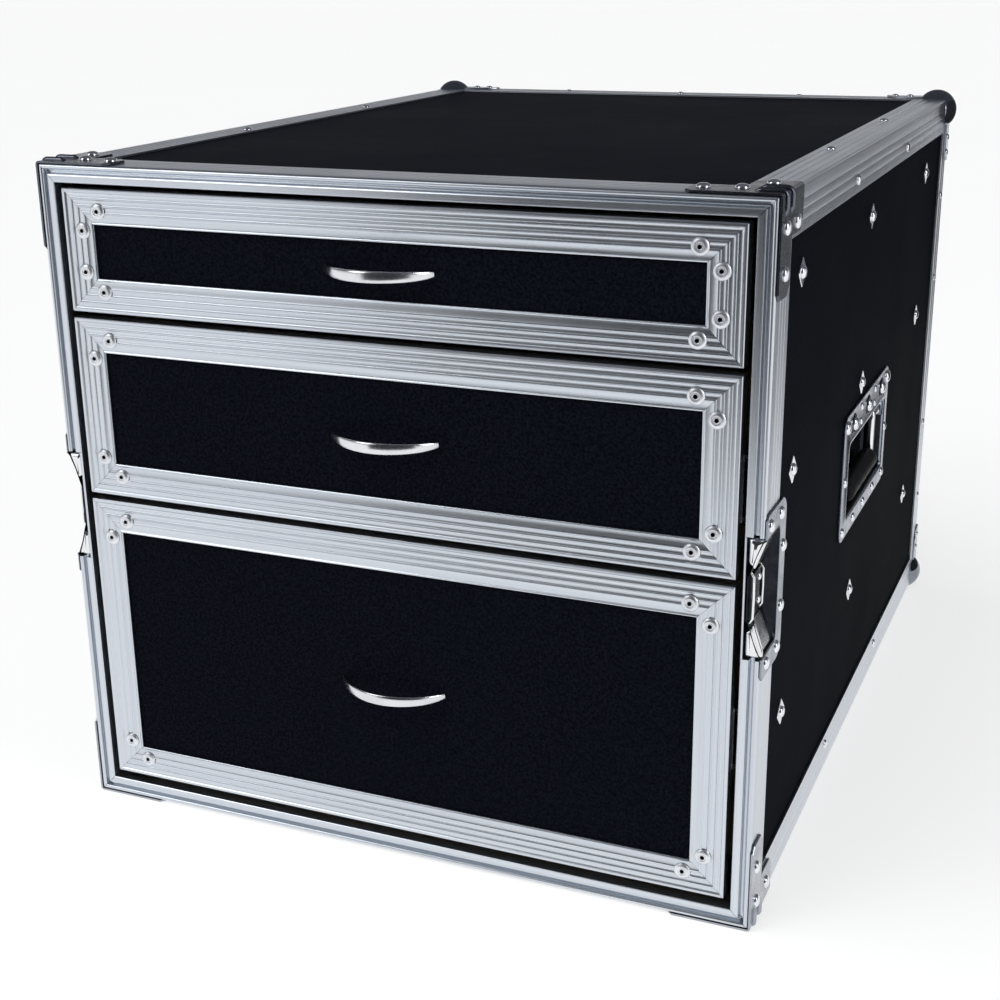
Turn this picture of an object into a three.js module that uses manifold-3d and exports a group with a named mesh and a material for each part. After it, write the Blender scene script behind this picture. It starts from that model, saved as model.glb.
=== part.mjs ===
// Road case with three drawers, standing without its front lid.
// Millimetres, +Z up, the front faces -Y. The origin is on the ground, under the middle of the whole case.

import * as THREE from 'three';
import { mergeVertices } from 'three/addons/utils/BufferGeometryUtils.js';
import Module from 'manifold-3d';

const wasm = await Module();
wasm.setup();

// Case, measured over its edge extrusions
const caseWidth = 524;
const caseDepth = 690;
const caseHeight = 490;

// Boards and extrusions
const boardThickness = 9;
const extrusionWall = 1.5;
const extrusionRounding = 2;
const edgeLeg = 30;
const edgeGrooveCount = 3;
const edgeGrooveStart = 8;
const edgeGroovePitch = 6;
const edgeGrooveWidth = 1.2;
const edgeGrooveDepth = 0.5;

// Clearances
const fitGap = 0.3;
const mitreGap = 0.25;
const cutOverrun = 2;

// Front rim: a bead, a groove for the lid's tongue, an inner lip, and a leg on each face of the board
const rimLeg = 36;
const rimInnerLeg = 20;
const rimNoseDepth = 8;
const rimBeadWidth = 3.6;
const rimGrooveWidth = 3.2;
const rimGrooveDepth = 5;
const rimLipRounding = 0.6;

// Ball corners at the back
const ballRadius = 18.5;
const ballInset = 10.3;
const ballPlateThickness = 1.2;
const ballLegLength = 46;
const ballLegWidth = 15;
const ballTipWidth = 9;
const ballTipLength = 12;
const ballForwardLegLength = 8;

// Corner braces at the front
const braceThickness = 1.5;
const braceArmWidth = 27;
const braceTopArm = 58;
const braceDepthArm = 56;
const braceDownArm = 62;
const braceTipCut = 6;

// Catch dishes on both sides, each with the keeper that the lid's hook takes hold of
const catchHeight = 239;
const catchPlateHeight = 112;
const catchPlateDepth = 52;
const catchPlateThickness = 1.2;
const catchPlateRounding = 12;
const catchPanDepth = 10;
const catchPanHeight = 82;
const catchPanFloorHeight = 30;
const catchPanReach = 38;
const catchFrontSetback = 0.6;
const keeperBaseHeight = 24;
const keeperBaseDepth = 26;
const keeperThickness = 1.2;
const keeperLipHeight = 26;
const keeperLipThickness = 2.4;
const keeperLipRise = 4.4;
const keeperSetback = 2;

// Recessed handles on both sides
const handlePlateWidth = 184;
const handlePlateHeight = 102;
const handlePlateThickness = 1.5;
const handlePlateRounding = 9;
const handlePanWidth = 150;
const handlePanHeight = 60;
const handlePanDepth = 17;
const handlePanWall = 1.2;
const handlePanRounding = 5;
const handlePanDrop = 5;
const handleBelowRunner = 16.2;
const bailRadius = 3;
const bailHalfWidth = 60;
const bailDrop = 38;
const bailPivotDepth = 6.5;
const bailPivotBelowPanTop = 8;
const gripRadius = 8.5;
const gripLength = 104;

// Drawers
const topFrontHeight = 87;
const middleFrontHeight = 132;
const openingGapTop = 3.5;
const openingGapBottom = 6.8;
const openingGapSide = 4.9;
const frontSpacing = 4.5;
const frontSetback = 0.8;
const frameFace = 24.5;
const frameWall = 1.5;
const frameRounding = 1;
const frameRibStartAt = 2;
const frameRibPitch = 5.6;
const frameRibCount = 3;
const frameRibWidth = 1.6;
const frameRibRise = 0.6;
const frameLipWidth = 1.4;
const boxBehind = 67.3;
const boxWall = 9;
const boxFloor = 6;
const boxAboveFrontBottom = 8;
const boxBelowFrontTop = 13;

// Drawer pulls
const pullHalfSpan = 41;
const pullShoulder = 21;
const pullReach = 21;
const pullStripHeight = 9;
const pullStripThickness = 3.6;

// Telescopic runners: case member, middle member and drawer member
const runnerDepth = 12.7;
const runnerHeight = 45;
const runnerWall = 1.2;
const runnerPlay = 0.4;
const runnerWebGap = 1.2;
const runnerSetback = 24;
const runnerBehind = 55.2;
const runnerShortening = 10;
const runnerCaseLipReach = 10.5;
const runnerMiddleLipReach = 11;
const runnerDrawerLipReach = 5;
const topRunnerDrop = -2.5;
const middleRunnerDrop = 13.5;
const bottomRunnerDrop = 5.25;

// Fineness of round pieces, in segments
const roundSegments = 16;
const ballSegments = 24;
const pullSteps = 14;
const cornerSegments = 4;

// Places that the sizes above give
const sideX = caseWidth / 2;
const frontY = -caseDepth / 2;
const backY = caseDepth / 2;
const ballProud = ballRadius - ballInset;
const boardOuter = extrusionWall + fitGap;
const boardInner = boardOuter + boardThickness;
const rimThickness = boardInner + fitGap + extrusionWall;
const panelFrontY = frontY + rimNoseDepth + fitGap;
const panelBackY = backY - boardInner - fitGap;
const openingHalfWidth = sideX - rimThickness;
const openingTop = caseHeight - rimThickness;
const frontHalfWidth = openingHalfWidth - openingGapSide;
const frontReturn = frameWall + fitGap + boardThickness;
const topFrontBottom = openingTop - openingGapTop - topFrontHeight;
const middleFrontBottom = topFrontBottom - frontSpacing - middleFrontHeight;
const bottomFrontBottom = rimThickness + openingGapBottom;
const bottomFrontHeight = middleFrontBottom - frontSpacing - bottomFrontBottom;
const panelInnerX = sideX - boardInner;
const boxHalfWidth = panelInnerX - runnerDepth - fitGap;
const boxLength = caseDepth - boardInner - boxBehind - frontSetback - frontReturn - fitGap;
const runnerLength = caseDepth - boardInner - runnerBehind - runnerSetback;
const runnerInnerLength = runnerLength - runnerShortening;
const middleRunnerHeight = middleFrontBottom + middleFrontHeight / 2 - middleRunnerDrop;
const handlePanTop = middleRunnerHeight - runnerHeight / 2 - handleBelowRunner - handlePanWall;
const handleHeight = handlePanTop - handlePanHeight / 2 + handlePanDrop;

// Looks of the materials
function material(color, roughness, metalness) {
  return new THREE.MeshStandardMaterial({ color, roughness, metalness });
}
const laminate = material(0x14161a, 0.55, 0);
const aluminium = material(0xb9bdc2, 0.35, 1);
const zinc = material(0xa9adb2, 0.28, 1);
const polished = material(0xd5d7da, 0.12, 1);
const chrome = material(0xdedfe1, 0.08, 1);
const rubber = material(0x101010, 0.8, 0);
const plywood = material(0xc8a878, 0.7, 0);
const runnerSteel = material(0x9fa3a8, 0.3, 1);

// Leaves positions only, shares the corners that meet, and turns the faces outward.
function plain(geometry) {
  geometry.deleteAttribute('normal');
  geometry.deleteAttribute('uv');
  const merged = mergeVertices(geometry);
  return signedVolume(merged) < 0 ? turnedOutward(merged) : merged;
}

function signedVolume(geometry) {
  const position = geometry.attributes.position;
  const corners = geometry.index.array;
  const [a, b, c] = [new THREE.Vector3(), new THREE.Vector3(), new THREE.Vector3()];
  let total = 0;
  for (let i = 0; i < corners.length; i += 3) {
    a.fromBufferAttribute(position, corners[i]);
    b.fromBufferAttribute(position, corners[i + 1]);
    c.fromBufferAttribute(position, corners[i + 2]);
    total += a.dot(b.cross(c));
  }
  return total / 6;
}

function turnedOutward(geometry) {
  const corners = Array.from(geometry.index.array);
  for (let i = 0; i < corners.length; i += 3) {
    [corners[i + 1], corners[i + 2]] = [corners[i + 2], corners[i + 1]];
  }
  geometry.setIndex(corners);
  return geometry;
}

function toSolid(geometry) {
  const vertProperties = new Float32Array(geometry.attributes.position.array);
  const triVerts = new Uint32Array(geometry.index.array);
  return new wasm.Manifold(new wasm.Mesh({ numProp: 3, vertProperties, triVerts }));
}

function toGeometry(solid) {
  const mesh = solid.getMesh();
  const geometry = new THREE.BufferGeometry();
  geometry.setAttribute('position', new THREE.BufferAttribute(mesh.vertProperties, 3));
  geometry.setIndex(new THREE.BufferAttribute(mesh.triVerts, 1));
  return geometry;
}

function joined(...geometries) {
  return toGeometry(geometries.map(toSolid).reduce((sum, next) => sum.add(next)));
}

function cut(geometry, ...tools) {
  return toGeometry(tools.map(toSolid).reduce((rest, tool) => rest.subtract(tool), toSolid(geometry)));
}

// A box between two values on each axis
function block(x0, x1, y0, y1, z0, z1) {
  const box = new THREE.BoxGeometry(x1 - x0, y1 - y0, z1 - z0);
  box.translate((x0 + x1) / 2, (y0 + y1) / 2, (z0 + z1) / 2);
  return plain(box);
}

// An outline given by its corners
function outline(points) {
  return new THREE.Shape(points.map(([x, y]) => new THREE.Vector2(x, y)));
}

// A rectangle about a centre, with round corners
function roundedRectangle(width, height, radius, centreX, centreY) {
  const [x, y] = [width / 2 - radius, height / 2 - radius];
  const shape = new THREE.Shape();
  shape.absarc(centreX + x, centreY + y, radius, 0, Math.PI / 2);
  shape.absarc(centreX - x, centreY + y, radius, Math.PI / 2, Math.PI);
  shape.absarc(centreX - x, centreY - y, radius, Math.PI, 1.5 * Math.PI);
  shape.absarc(centreX + x, centreY - y, radius, 1.5 * Math.PI, 2 * Math.PI);
  return shape;
}

// Extrudes an outline from one height to another on its own third axis.
function extruded(shape, from, to) {
  const options = { depth: to - from, bevelEnabled: false, curveSegments: cornerSegments };
  const geometry = new THREE.ExtrudeGeometry(shape, options);
  geometry.translate(0, 0, from);
  return geometry;
}

// Carries the local x, y and z of a geometry to three directions.
function carried(geometry, x, y, z) {
  const basis = new THREE.Matrix4().makeBasis(x, y, z);
  return plain(geometry.applyMatrix4(basis));
}

const right = new THREE.Vector3(1, 0, 0);
const back = new THREE.Vector3(0, 1, 0);
const up = new THREE.Vector3(0, 0, 1);

// An outline in depth and height, extruded sideways
function sideways(shape, x0, x1) {
  return carried(extruded(shape, x0, x1), back, up, right);
}

// An outline in width and height, extruded in depth
function inDepth(shape, y0, y1) {
  return carried(extruded(shape, y0, y1), right, up, back);
}

// A cylinder along the depth, between two places
function barInDepth(radius, x, y0, y1, z) {
  const bar = new THREE.CylinderGeometry(radius, radius, y1 - y0, roundSegments);
  bar.translate(x, (y0 + y1) / 2, z);
  return plain(bar);
}

function pieceOf(name, geometry, look) {
  const flat = geometry.toNonIndexed();
  flat.computeVertexNormals();
  const mesh = new THREE.Mesh(flat, look);
  mesh.name = name;
  return mesh;
}

// Each side's name with its direction: the left side is the right side mirrored.
const sides = [
  ['right', 1],
  ['left', -1],
];

// Boards

function sidePanel() {
  const panel = block(
    panelInnerX, sideX - boardOuter, panelFrontY, panelBackY, boardOuter, caseHeight - boardOuter,
  );
  const catchHalf = catchPanHeight / 2 + fitGap;
  const catchNotch = block(
    panelInnerX - cutOverrun, sideX, frontY, frontY + catchPanReach + fitGap,
    catchHeight - catchHalf, catchHeight + catchHalf,
  );
  const windowWidth = handlePanWidth + 2 * (handlePanWall + fitGap);
  const windowHeight = handlePanHeight + 2 * (handlePanWall + fitGap);
  const windowRounding = handlePanRounding + handlePanWall + fitGap;
  const windowCentre = handleHeight - handlePanDrop;
  const window = roundedRectangle(windowWidth, windowHeight, windowRounding, 0, windowCentre);
  return cut(panel, catchNotch, sideways(window, panelInnerX - cutOverrun, sideX));
}

function levelPanel(z0) {
  const halfWidth = panelInnerX - fitGap;
  return block(-halfWidth, halfWidth, panelFrontY, panelBackY, z0, z0 + boardThickness);
}

function backPanel() {
  const halfWidth = sideX - boardOuter;
  const [nearY, farY] = [backY - boardInner, backY - boardOuter];
  return block(-halfWidth, halfWidth, nearY, farY, boardOuter, caseHeight - boardOuter);
}

function boards() {
  const group = new THREE.Group();
  group.add(pieceOf('top_panel', levelPanel(caseHeight - boardInner), laminate));
  group.add(pieceOf('bottom_panel', levelPanel(boardOuter), laminate));
  group.add(pieceOf('back_panel', backPanel(), laminate));
  for (const [side, sign] of sides) {
    const panel = pieceOf(`${side}_panel`, sidePanel(), laminate);
    panel.scale.x = sign;
    group.add(panel);
  }
  return group;
}

// Edge extrusions

// Angle section with grooves in its level leg, in distances from the two outer faces
function edgeSection() {
  const shape = new THREE.Shape();
  shape.moveTo(0, edgeLeg);
  shape.lineTo(0, extrusionRounding);
  shape.absarc(extrusionRounding, extrusionRounding, extrusionRounding, Math.PI, 1.5 * Math.PI);
  for (let i = 0; i < edgeGrooveCount; i += 1) {
    const start = edgeGrooveStart + i * edgeGroovePitch;
    shape.lineTo(start, 0);
    shape.lineTo(start, edgeGrooveDepth);
    shape.lineTo(start + edgeGrooveWidth, edgeGrooveDepth);
    shape.lineTo(start + edgeGrooveWidth, 0);
  }
  shape.lineTo(edgeLeg, 0);
  shape.lineTo(edgeLeg, extrusionWall);
  shape.lineTo(extrusionWall, extrusionWall);
  shape.lineTo(extrusionWall, edgeLeg);
  return shape;
}

// Angle section of the frame round the back, in distances from the side and from the back
function rearSection() {
  const shape = new THREE.Shape();
  shape.moveTo(0, edgeLeg);
  shape.lineTo(0, extrusionRounding);
  shape.absarc(extrusionRounding, extrusionRounding, extrusionRounding, Math.PI, 1.5 * Math.PI);
  shape.lineTo(edgeLeg, 0);
  shape.lineTo(edgeLeg, extrusionWall);
  shape.lineTo(extrusionWall, extrusionWall);
  shape.lineTo(extrusionWall, edgeLeg);
  return shape;
}

// Runs a section round a rectangle with mitred corners: a four-sided lathe, drawn out to the rectangle.
// The section's first value goes inward from the rectangle, the second in depth.
function rectangularRing(shape, halfWidth, halfHeight) {
  const reach = Math.min(halfWidth, halfHeight);
  const section = shape.getPoints(cornerSegments);
  const profile = [...section, section[0]].map((p) => new THREE.Vector2((reach - p.x) * Math.SQRT2, p.y));
  const ring = new THREE.LatheGeometry(profile, 4, Math.PI / 4);
  const position = ring.attributes.position;
  for (let i = 0; i < position.count; i += 1) {
    const [x, z] = [position.getX(i), position.getZ(i)];
    position.setX(i, x + Math.sign(x) * (halfWidth - reach));
    position.setZ(i, z + Math.sign(z) * (halfHeight - reach));
  }
  return plain(ring);
}

function longEdge() {
  const length = caseDepth - rimLeg - edgeLeg - 2 * fitGap;
  const bar = extruded(edgeSection(), 0, length);
  const angle = carried(bar, right.clone().negate(), up.clone().negate(), back);
  angle.translate(0, frontY + rimLeg + fitGap, 0);
  return angle;
}

function edges() {
  const group = new THREE.Group();
  for (const [side, sign] of sides) {
    const top = pieceOf(`edge_top_${side}`, longEdge(), aluminium);
    top.position.set(sign * sideX, 0, caseHeight);
    top.scale.x = sign;
    const bottom = pieceOf(`edge_bottom_${side}`, longEdge(), aluminium);
    bottom.position.set(sign * sideX, 0, 0);
    bottom.scale.set(sign, 1, -1);
    group.add(top, bottom);
  }
  const ring = rectangularRing(rearSection(), sideX, caseHeight / 2);
  const rear = pieceOf('rear_edge_frame', ring, aluminium);
  rear.position.set(0, backY, caseHeight / 2);
  rear.scale.y = -1;
  group.add(rear);
  return group;
}

// Front rim

// Section in distances from the outer face and from the front
function rimSection() {
  const beadRadius = rimBeadWidth / 2;
  const lipStart = rimBeadWidth + rimGrooveWidth;
  const shape = new THREE.Shape();
  shape.moveTo(0, rimLeg);
  shape.lineTo(0, beadRadius);
  shape.absarc(beadRadius, beadRadius, beadRadius, Math.PI, 2 * Math.PI);
  shape.lineTo(rimBeadWidth, rimGrooveDepth);
  shape.lineTo(lipStart, rimGrooveDepth);
  shape.lineTo(lipStart, rimLipRounding);
  shape.lineTo(lipStart + rimLipRounding, 0);
  shape.lineTo(rimThickness - rimLipRounding, 0);
  shape.lineTo(rimThickness, rimLipRounding);
  shape.lineTo(rimThickness, rimInnerLeg);
  shape.lineTo(rimThickness - extrusionWall, rimInnerLeg);
  shape.lineTo(rimThickness - extrusionWall, rimNoseDepth);
  shape.lineTo(extrusionWall, rimNoseDepth);
  shape.lineTo(extrusionWall, rimLeg);
  return shape;
}

// A length of rim lying along X with its outer face up, both ends cut at 45 degrees
function rimLength(length) {
  const bar = extruded(rimSection(), -length / 2, length / 2);
  const position = bar.attributes.position;
  for (let i = 0; i < position.count; i += 1) {
    const [inward, depth, along] = [position.getX(i), position.getY(i), position.getZ(i)];
    const reach = length / 2 - mitreGap - inward;
    position.setXYZ(i, Math.sign(along) * reach, depth, -inward);
  }
  return plain(bar);
}

// The catch's notch leaves only the inner leg standing.
function notchedRimLength() {
  const half = catchPanHeight / 2 + fitGap;
  const centre = caseHeight / 2 - catchHeight;
  const notch = block(
    centre - half, centre + half, -cutOverrun, rimLeg + cutOverrun, extrusionWall - rimThickness, cutOverrun,
  );
  return cut(rimLength(caseHeight), notch);
}

function rim() {
  const group = new THREE.Group();
  const top = pieceOf('rim_top', rimLength(caseWidth), aluminium);
  top.position.set(0, frontY, caseHeight);
  const bottom = pieceOf('rim_bottom', rimLength(caseWidth), aluminium);
  bottom.position.set(0, frontY, 0);
  bottom.scale.z = -1;
  group.add(top, bottom);
  for (const [side, sign] of sides) {
    const upright = pieceOf(`rim_${side}`, notchedRimLength(), aluminium);
    upright.rotation.y = Math.PI / 2;
    const holder = new THREE.Group();
    holder.position.set(sign * sideX, frontY, caseHeight / 2);
    holder.scale.x = sign;
    holder.add(upright);
    group.add(holder);
  }
  return group;
}

// Corners

// Both kinds of corner are drawn with their corner at the origin and the case towards +X, +Y and +Z.

// A leg of the ball corner along one direction, as an outline in the plane of one face
function ballLegOutline(over, length) {
  return outline([
    [-over, -over],
    [length + ballTipLength, -over],
    [length + ballTipLength, ballTipWidth],
    [length, ballLegWidth],
    [-over, ballLegWidth],
  ]);
}

// The leg has that outline on both faces that meet at its edge.
function ballLeg(length, along, faceA, faceB) {
  const over = fitGap + ballPlateThickness;
  const plate = () => extruded(ballLegOutline(over, length), -over, ballLegWidth);
  const legs = [carried(plate(), along, faceA, faceB), carried(plate(), along, faceB, faceA)];
  return toGeometry(toSolid(legs[0]).intersect(toSolid(legs[1])));
}

function ballCorner() {
  const ball = new THREE.SphereGeometry(ballRadius, ballSegments, ballSegments / 2);
  ball.translate(ballInset, ballInset, ballInset);
  const legs = [
    ballLeg(ballLegLength, right, back, up),
    ballLeg(ballForwardLegLength, back, right, up),
    ballLeg(ballLegLength, up, right, back),
  ];
  const reach = ballLegLength + ballTipLength + cutOverrun;
  const caseCorner = block(-fitGap, reach, -fitGap, reach, -fitGap, reach);
  return cut(joined(plain(ball), ...legs), caseCorner);
}

// L-shaped plate in the plane of one face: two arms of one width, their ends cut at the corners
function braceOutline(over, armAlong, armAcross) {
  const width = braceArmWidth;
  const tip = braceTipCut;
  return outline([
    [-over, -over],
    [armAlong - tip, -over],
    [armAlong, tip - over],
    [armAlong, width - tip],
    [armAlong - tip, width],
    [width, width],
    [width, armAcross - tip],
    [width - tip, armAcross],
    [-over, armAcross],
  ]);
}

function cornerBrace() {
  const over = fitGap + braceThickness;
  const sidePlate = extruded(braceOutline(over, braceDownArm, braceDepthArm), -over, -fitGap);
  const levelPlate = extruded(braceOutline(over, braceTopArm, braceDepthArm), -over, -fitGap);
  const plates = joined(carried(sidePlate, up, back, right), carried(levelPlate, right, back, up));
  const [near, far] = [-over - cutOverrun, braceDownArm + cutOverrun];
  return cut(plates, block(near, far, near, 0, near, far));
}

function corners() {
  const group = new THREE.Group();
  const heights = [
    ['top', caseHeight, -1],
    ['bottom', 0, 1],
  ];
  for (const [height, z, inward] of heights) {
    for (const [side, sign] of sides) {
      const ball = pieceOf(`ball_corner_${height}_${side}`, ballCorner(), polished);
      ball.position.set(sign * sideX, backY, z);
      ball.scale.set(-sign, -1, inward);
      const brace = pieceOf(`corner_brace_${height}_${side}`, cornerBrace(), zinc);
      brace.position.set(sign * sideX, frontY, z);
      brace.scale.set(-sign, 1, inward);
      group.add(ball, brace);
    }
  }
  return group;
}

// Catch dishes, drawn on the right side: x goes outward from the case's side, y back from its front

function catchDish() {
  const [plateIn, plateOut] = [fitGap, fitGap + catchPlateThickness];
  const rounding = catchPlateRounding;
  const half = catchPlateHeight / 2;
  const plate = new THREE.Shape();
  plate.moveTo(catchFrontSetback, -half);
  plate.absarc(catchPlateDepth - rounding, rounding - half, rounding, 1.5 * Math.PI, 2 * Math.PI);
  plate.absarc(catchPlateDepth - rounding, half - rounding, rounding, 0, Math.PI / 2);
  plate.lineTo(catchFrontSetback, half);
  const wall = catchPlateThickness;
  const [mouth, floor] = [catchPanHeight / 2, catchPanFloorHeight / 2];
  const outerShell = outline([
    [-catchPanDepth, -floor],
    [plateOut, -mouth],
    [plateOut, mouth],
    [-catchPanDepth, floor],
  ]);
  const hollow = outline([
    [wall - catchPanDepth, wall - floor],
    [plateOut + cutOverrun, wall - mouth],
    [plateOut + cutOverrun, mouth - wall],
    [wall - catchPanDepth, floor - wall],
  ]);
  const pan = carried(extruded(outerShell, catchFrontSetback, catchPanReach), right, up, back);
  const bowl = carried(extruded(hollow, -cutOverrun, catchPanReach - wall), right, up, back);
  return cut(joined(sideways(plate, plateIn, plateOut), pan), bowl);
}

// The keeper is riveted to the pan's floor, its lip rolled up at the front.
function keeper() {
  const seat = catchPlateThickness - catchPanDepth;
  const baseBack = keeperSetback + keeperBaseDepth;
  const [baseHalf, lipHalf] = [keeperBaseHeight / 2, keeperLipHeight / 2];
  const base = block(seat, seat + keeperThickness, keeperSetback, baseBack, -baseHalf, baseHalf);
  const lip = block(
    seat, seat + keeperLipRise, keeperSetback, keeperSetback + keeperLipThickness, -lipHalf, lipHalf,
  );
  return joined(base, lip);
}

function catches() {
  const group = new THREE.Group();
  for (const [side, sign] of sides) {
    const dish = pieceOf(`catch_dish_${side}`, joined(catchDish(), keeper()), zinc);
    dish.position.set(sign * sideX, frontY, catchHeight);
    dish.scale.x = sign;
    group.add(dish);
  }
  return group;
}

// Recessed handles, drawn on the right side: x goes outward from its face, z up from the plate's middle

function handleDish() {
  const outerWidth = handlePanWidth + 2 * handlePanWall;
  const outerHeight = handlePanHeight + 2 * handlePanWall;
  const plate = roundedRectangle(handlePlateWidth, handlePlateHeight, handlePlateRounding, 0, 0);
  const outerRounding = handlePanRounding + handlePanWall;
  const pan = roundedRectangle(outerWidth, outerHeight, outerRounding, 0, -handlePanDrop);
  const bowl = roundedRectangle(handlePanWidth, handlePanHeight, handlePanRounding, 0, -handlePanDrop);
  return cut(
    joined(sideways(plate, -handlePlateThickness, 0), sideways(pan, -handlePanDepth - handlePanWall, 0)),
    sideways(bowl, -handlePanDepth, cutOverrun),
  );
}

// A rod bent to a U, hanging from its two pivots
function handleBail() {
  const stubEnd = handlePanWidth / 2 - fitGap;
  const parts = [barInDepth(bailRadius, 0, -bailHalfWidth, bailHalfWidth, -bailDrop)];
  for (const y of [-bailHalfWidth, bailHalfWidth]) {
    const arm = new THREE.CylinderGeometry(bailRadius, bailRadius, bailDrop, roundSegments);
    arm.rotateX(Math.PI / 2);
    arm.translate(0, y, -bailDrop / 2);
    const [near, far] = [Math.min(y, Math.sign(y) * stubEnd), Math.max(y, Math.sign(y) * stubEnd)];
    parts.push(plain(arm), barInDepth(bailRadius, 0, near, far, 0));
    for (const z of [0, -bailDrop]) {
      const bend = new THREE.SphereGeometry(bailRadius, roundSegments, roundSegments / 2);
      bend.translate(0, y, z);
      parts.push(plain(bend));
    }
  }
  return joined(...parts);
}

function handleGrip() {
  const half = gripLength / 2;
  const bore = bailRadius + fitGap;
  const section = [[bore, -half], [gripRadius, -half], [gripRadius, half], [bore, half], [bore, -half]];
  const grip = new THREE.LatheGeometry(section.map(([r, y]) => new THREE.Vector2(r, y)), roundSegments);
  grip.translate(0, 0, -bailDrop);
  return plain(grip);
}

function handles() {
  const group = new THREE.Group();
  const pivotRise = handlePanHeight / 2 - handlePanDrop - bailPivotBelowPanTop;
  for (const [side, sign] of sides) {
    const holder = new THREE.Group();
    holder.position.set(sign * sideX, 0, handleHeight);
    holder.scale.x = sign;
    const bail = new THREE.Group();
    bail.position.set(-bailPivotDepth, 0, pivotRise);
    bail.add(pieceOf(`handle_bail_${side}`, handleBail(), zinc));
    bail.add(pieceOf(`handle_grip_${side}`, handleGrip(), rubber));
    holder.add(pieceOf(`handle_dish_${side}`, handleDish(), zinc), bail);
    group.add(holder);
  }
  return group;
}

// Drawers, each drawn from the bottom edge of its front and from the plane of its face

// Section of the front's frame, in distances from its outer edge and from its face
function frameSection() {
  const shape = new THREE.Shape();
  shape.moveTo(0, frontReturn);
  shape.lineTo(0, frameRounding);
  shape.lineTo(frameRounding, 0);
  for (let i = 0; i < frameRibCount; i += 1) {
    const start = frameRibStartAt + i * frameRibPitch;
    shape.lineTo(start, 0);
    shape.lineTo(start + frameRibWidth / 4, -frameRibRise);
    shape.lineTo(start + frameRibWidth * 3 / 4, -frameRibRise);
    shape.lineTo(start + frameRibWidth, 0);
  }
  shape.lineTo(frameFace - frameLipWidth, 0);
  shape.lineTo(frameFace - frameLipWidth / 2, -frameRibRise);
  shape.lineTo(frameFace, 0);
  shape.lineTo(frameFace, frameWall);
  shape.lineTo(frameWall, frameWall);
  shape.lineTo(frameWall, frontReturn);
  return shape;
}

function frontBoard(height) {
  const inset = frameWall + fitGap;
  const halfWidth = frontHalfWidth - inset;
  return block(-halfWidth, halfWidth, inset, inset + boardThickness, inset, height - inset);
}

function drawerBox(height) {
  const [bottom, top] = [boxAboveFrontBottom, height - boxBelowFrontTop];
  const start = frontReturn + fitGap;
  const outer = block(-boxHalfWidth, boxHalfWidth, start, start + boxLength, bottom, top);
  const halfInside = boxHalfWidth - boxWall;
  const [near, far] = [start + boxWall, start + boxLength - boxWall];
  const inside = block(-halfInside, halfInside, near, far, bottom + boxFloor, top + cutOverrun);
  return cut(outer, inside);
}

// A flat strip bent to a shallow bow, its ends cut off level on the board
function pull() {
  const seat = frameWall;
  const start = seat + pullStripThickness;
  const crest = (pullReach + start - pullStripThickness / 2) * 4 / 3;
  const bow = new THREE.CubicBezierCurve3(
    new THREE.Vector3(-pullHalfSpan, start, 0),
    new THREE.Vector3(-pullShoulder, start - crest, 0),
    new THREE.Vector3(pullShoulder, start - crest, 0),
    new THREE.Vector3(pullHalfSpan, start, 0),
  );
  const strip = new THREE.Shape();
  strip.absellipse(0, 0, pullStripHeight / 2, pullStripThickness / 2, 0, 2 * Math.PI);
  const options = { steps: pullSteps, extrudePath: bow, curveSegments: roundSegments / 2 };
  const far = pullHalfSpan + pullStripHeight;
  const board = block(-far, far, seat, start + pullStripHeight, -pullStripHeight, pullStripHeight);
  return cut(plain(new THREE.ExtrudeGeometry(strip, options)), board);
}

// A channel section: its web stands at one depth from the case's board, its lips reach to another.
function runnerChannel(webFrom, lipTo, height, length) {
  const direction = Math.sign(lipTo - webFrom);
  const webTo = webFrom + direction * runnerWall;
  const half = height / 2;
  const shape = outline([
    [webFrom, -half],
    [lipTo, -half],
    [lipTo, runnerWall - half],
    [webTo, runnerWall - half],
    [webTo, half - runnerWall],
    [lipTo, half - runnerWall],
    [lipTo, half],
    [webFrom, half],
  ]);
  return carried(extruded(shape, 0, length), right.clone().negate(), up, back);
}

// The three members of one runner, drawn from the inner face of the case's right board
function runnerMembers() {
  const nested = 2 * (runnerWall + runnerPlay);
  return {
    case: runnerChannel(fitGap, runnerCaseLipReach, runnerHeight, runnerLength),
    middle: runnerChannel(
      fitGap + runnerWall + runnerWebGap, runnerMiddleLipReach, runnerHeight - nested, runnerInnerLength,
    ),
    drawer: runnerChannel(runnerDepth, runnerDrawerLipReach, runnerHeight - 2 * nested, runnerInnerLength),
  };
}

function drawer(name, bottom, height, runnerDrop) {
  const group = new THREE.Group();
  const front = new THREE.Group();
  front.position.set(0, frontY + frontSetback, bottom);
  const frame = rectangularRing(frameSection(), frontHalfWidth, height / 2);
  const ring = pieceOf(`${name}_drawer_frame`, frame, aluminium);
  ring.position.z = height / 2;
  const bow = pieceOf(`${name}_drawer_pull`, pull(), chrome);
  bow.position.z = height / 2;
  front.add(pieceOf(`${name}_drawer_front`, frontBoard(height), laminate), ring, bow);
  front.add(pieceOf(`${name}_drawer_box`, drawerBox(height), plywood));
  group.add(front);
  for (const [side, sign] of sides) {
    const runner = new THREE.Group();
    runner.position.set(sign * panelInnerX, frontY + runnerSetback, bottom + height / 2 - runnerDrop);
    runner.scale.x = sign;
    for (const [member, geometry] of Object.entries(runnerMembers())) {
      runner.add(pieceOf(`${name}_runner_${member}_${side}`, geometry, runnerSteel));
    }
    group.add(runner);
  }
  return group;
}

function drawers() {
  const group = new THREE.Group();
  group.add(drawer('top', topFrontBottom, topFrontHeight, topRunnerDrop));
  group.add(drawer('middle', middleFrontBottom, middleFrontHeight, middleRunnerDrop));
  group.add(drawer('bottom', bottomFrontBottom, bottomFrontHeight, bottomRunnerDrop));
  return group;
}

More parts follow.
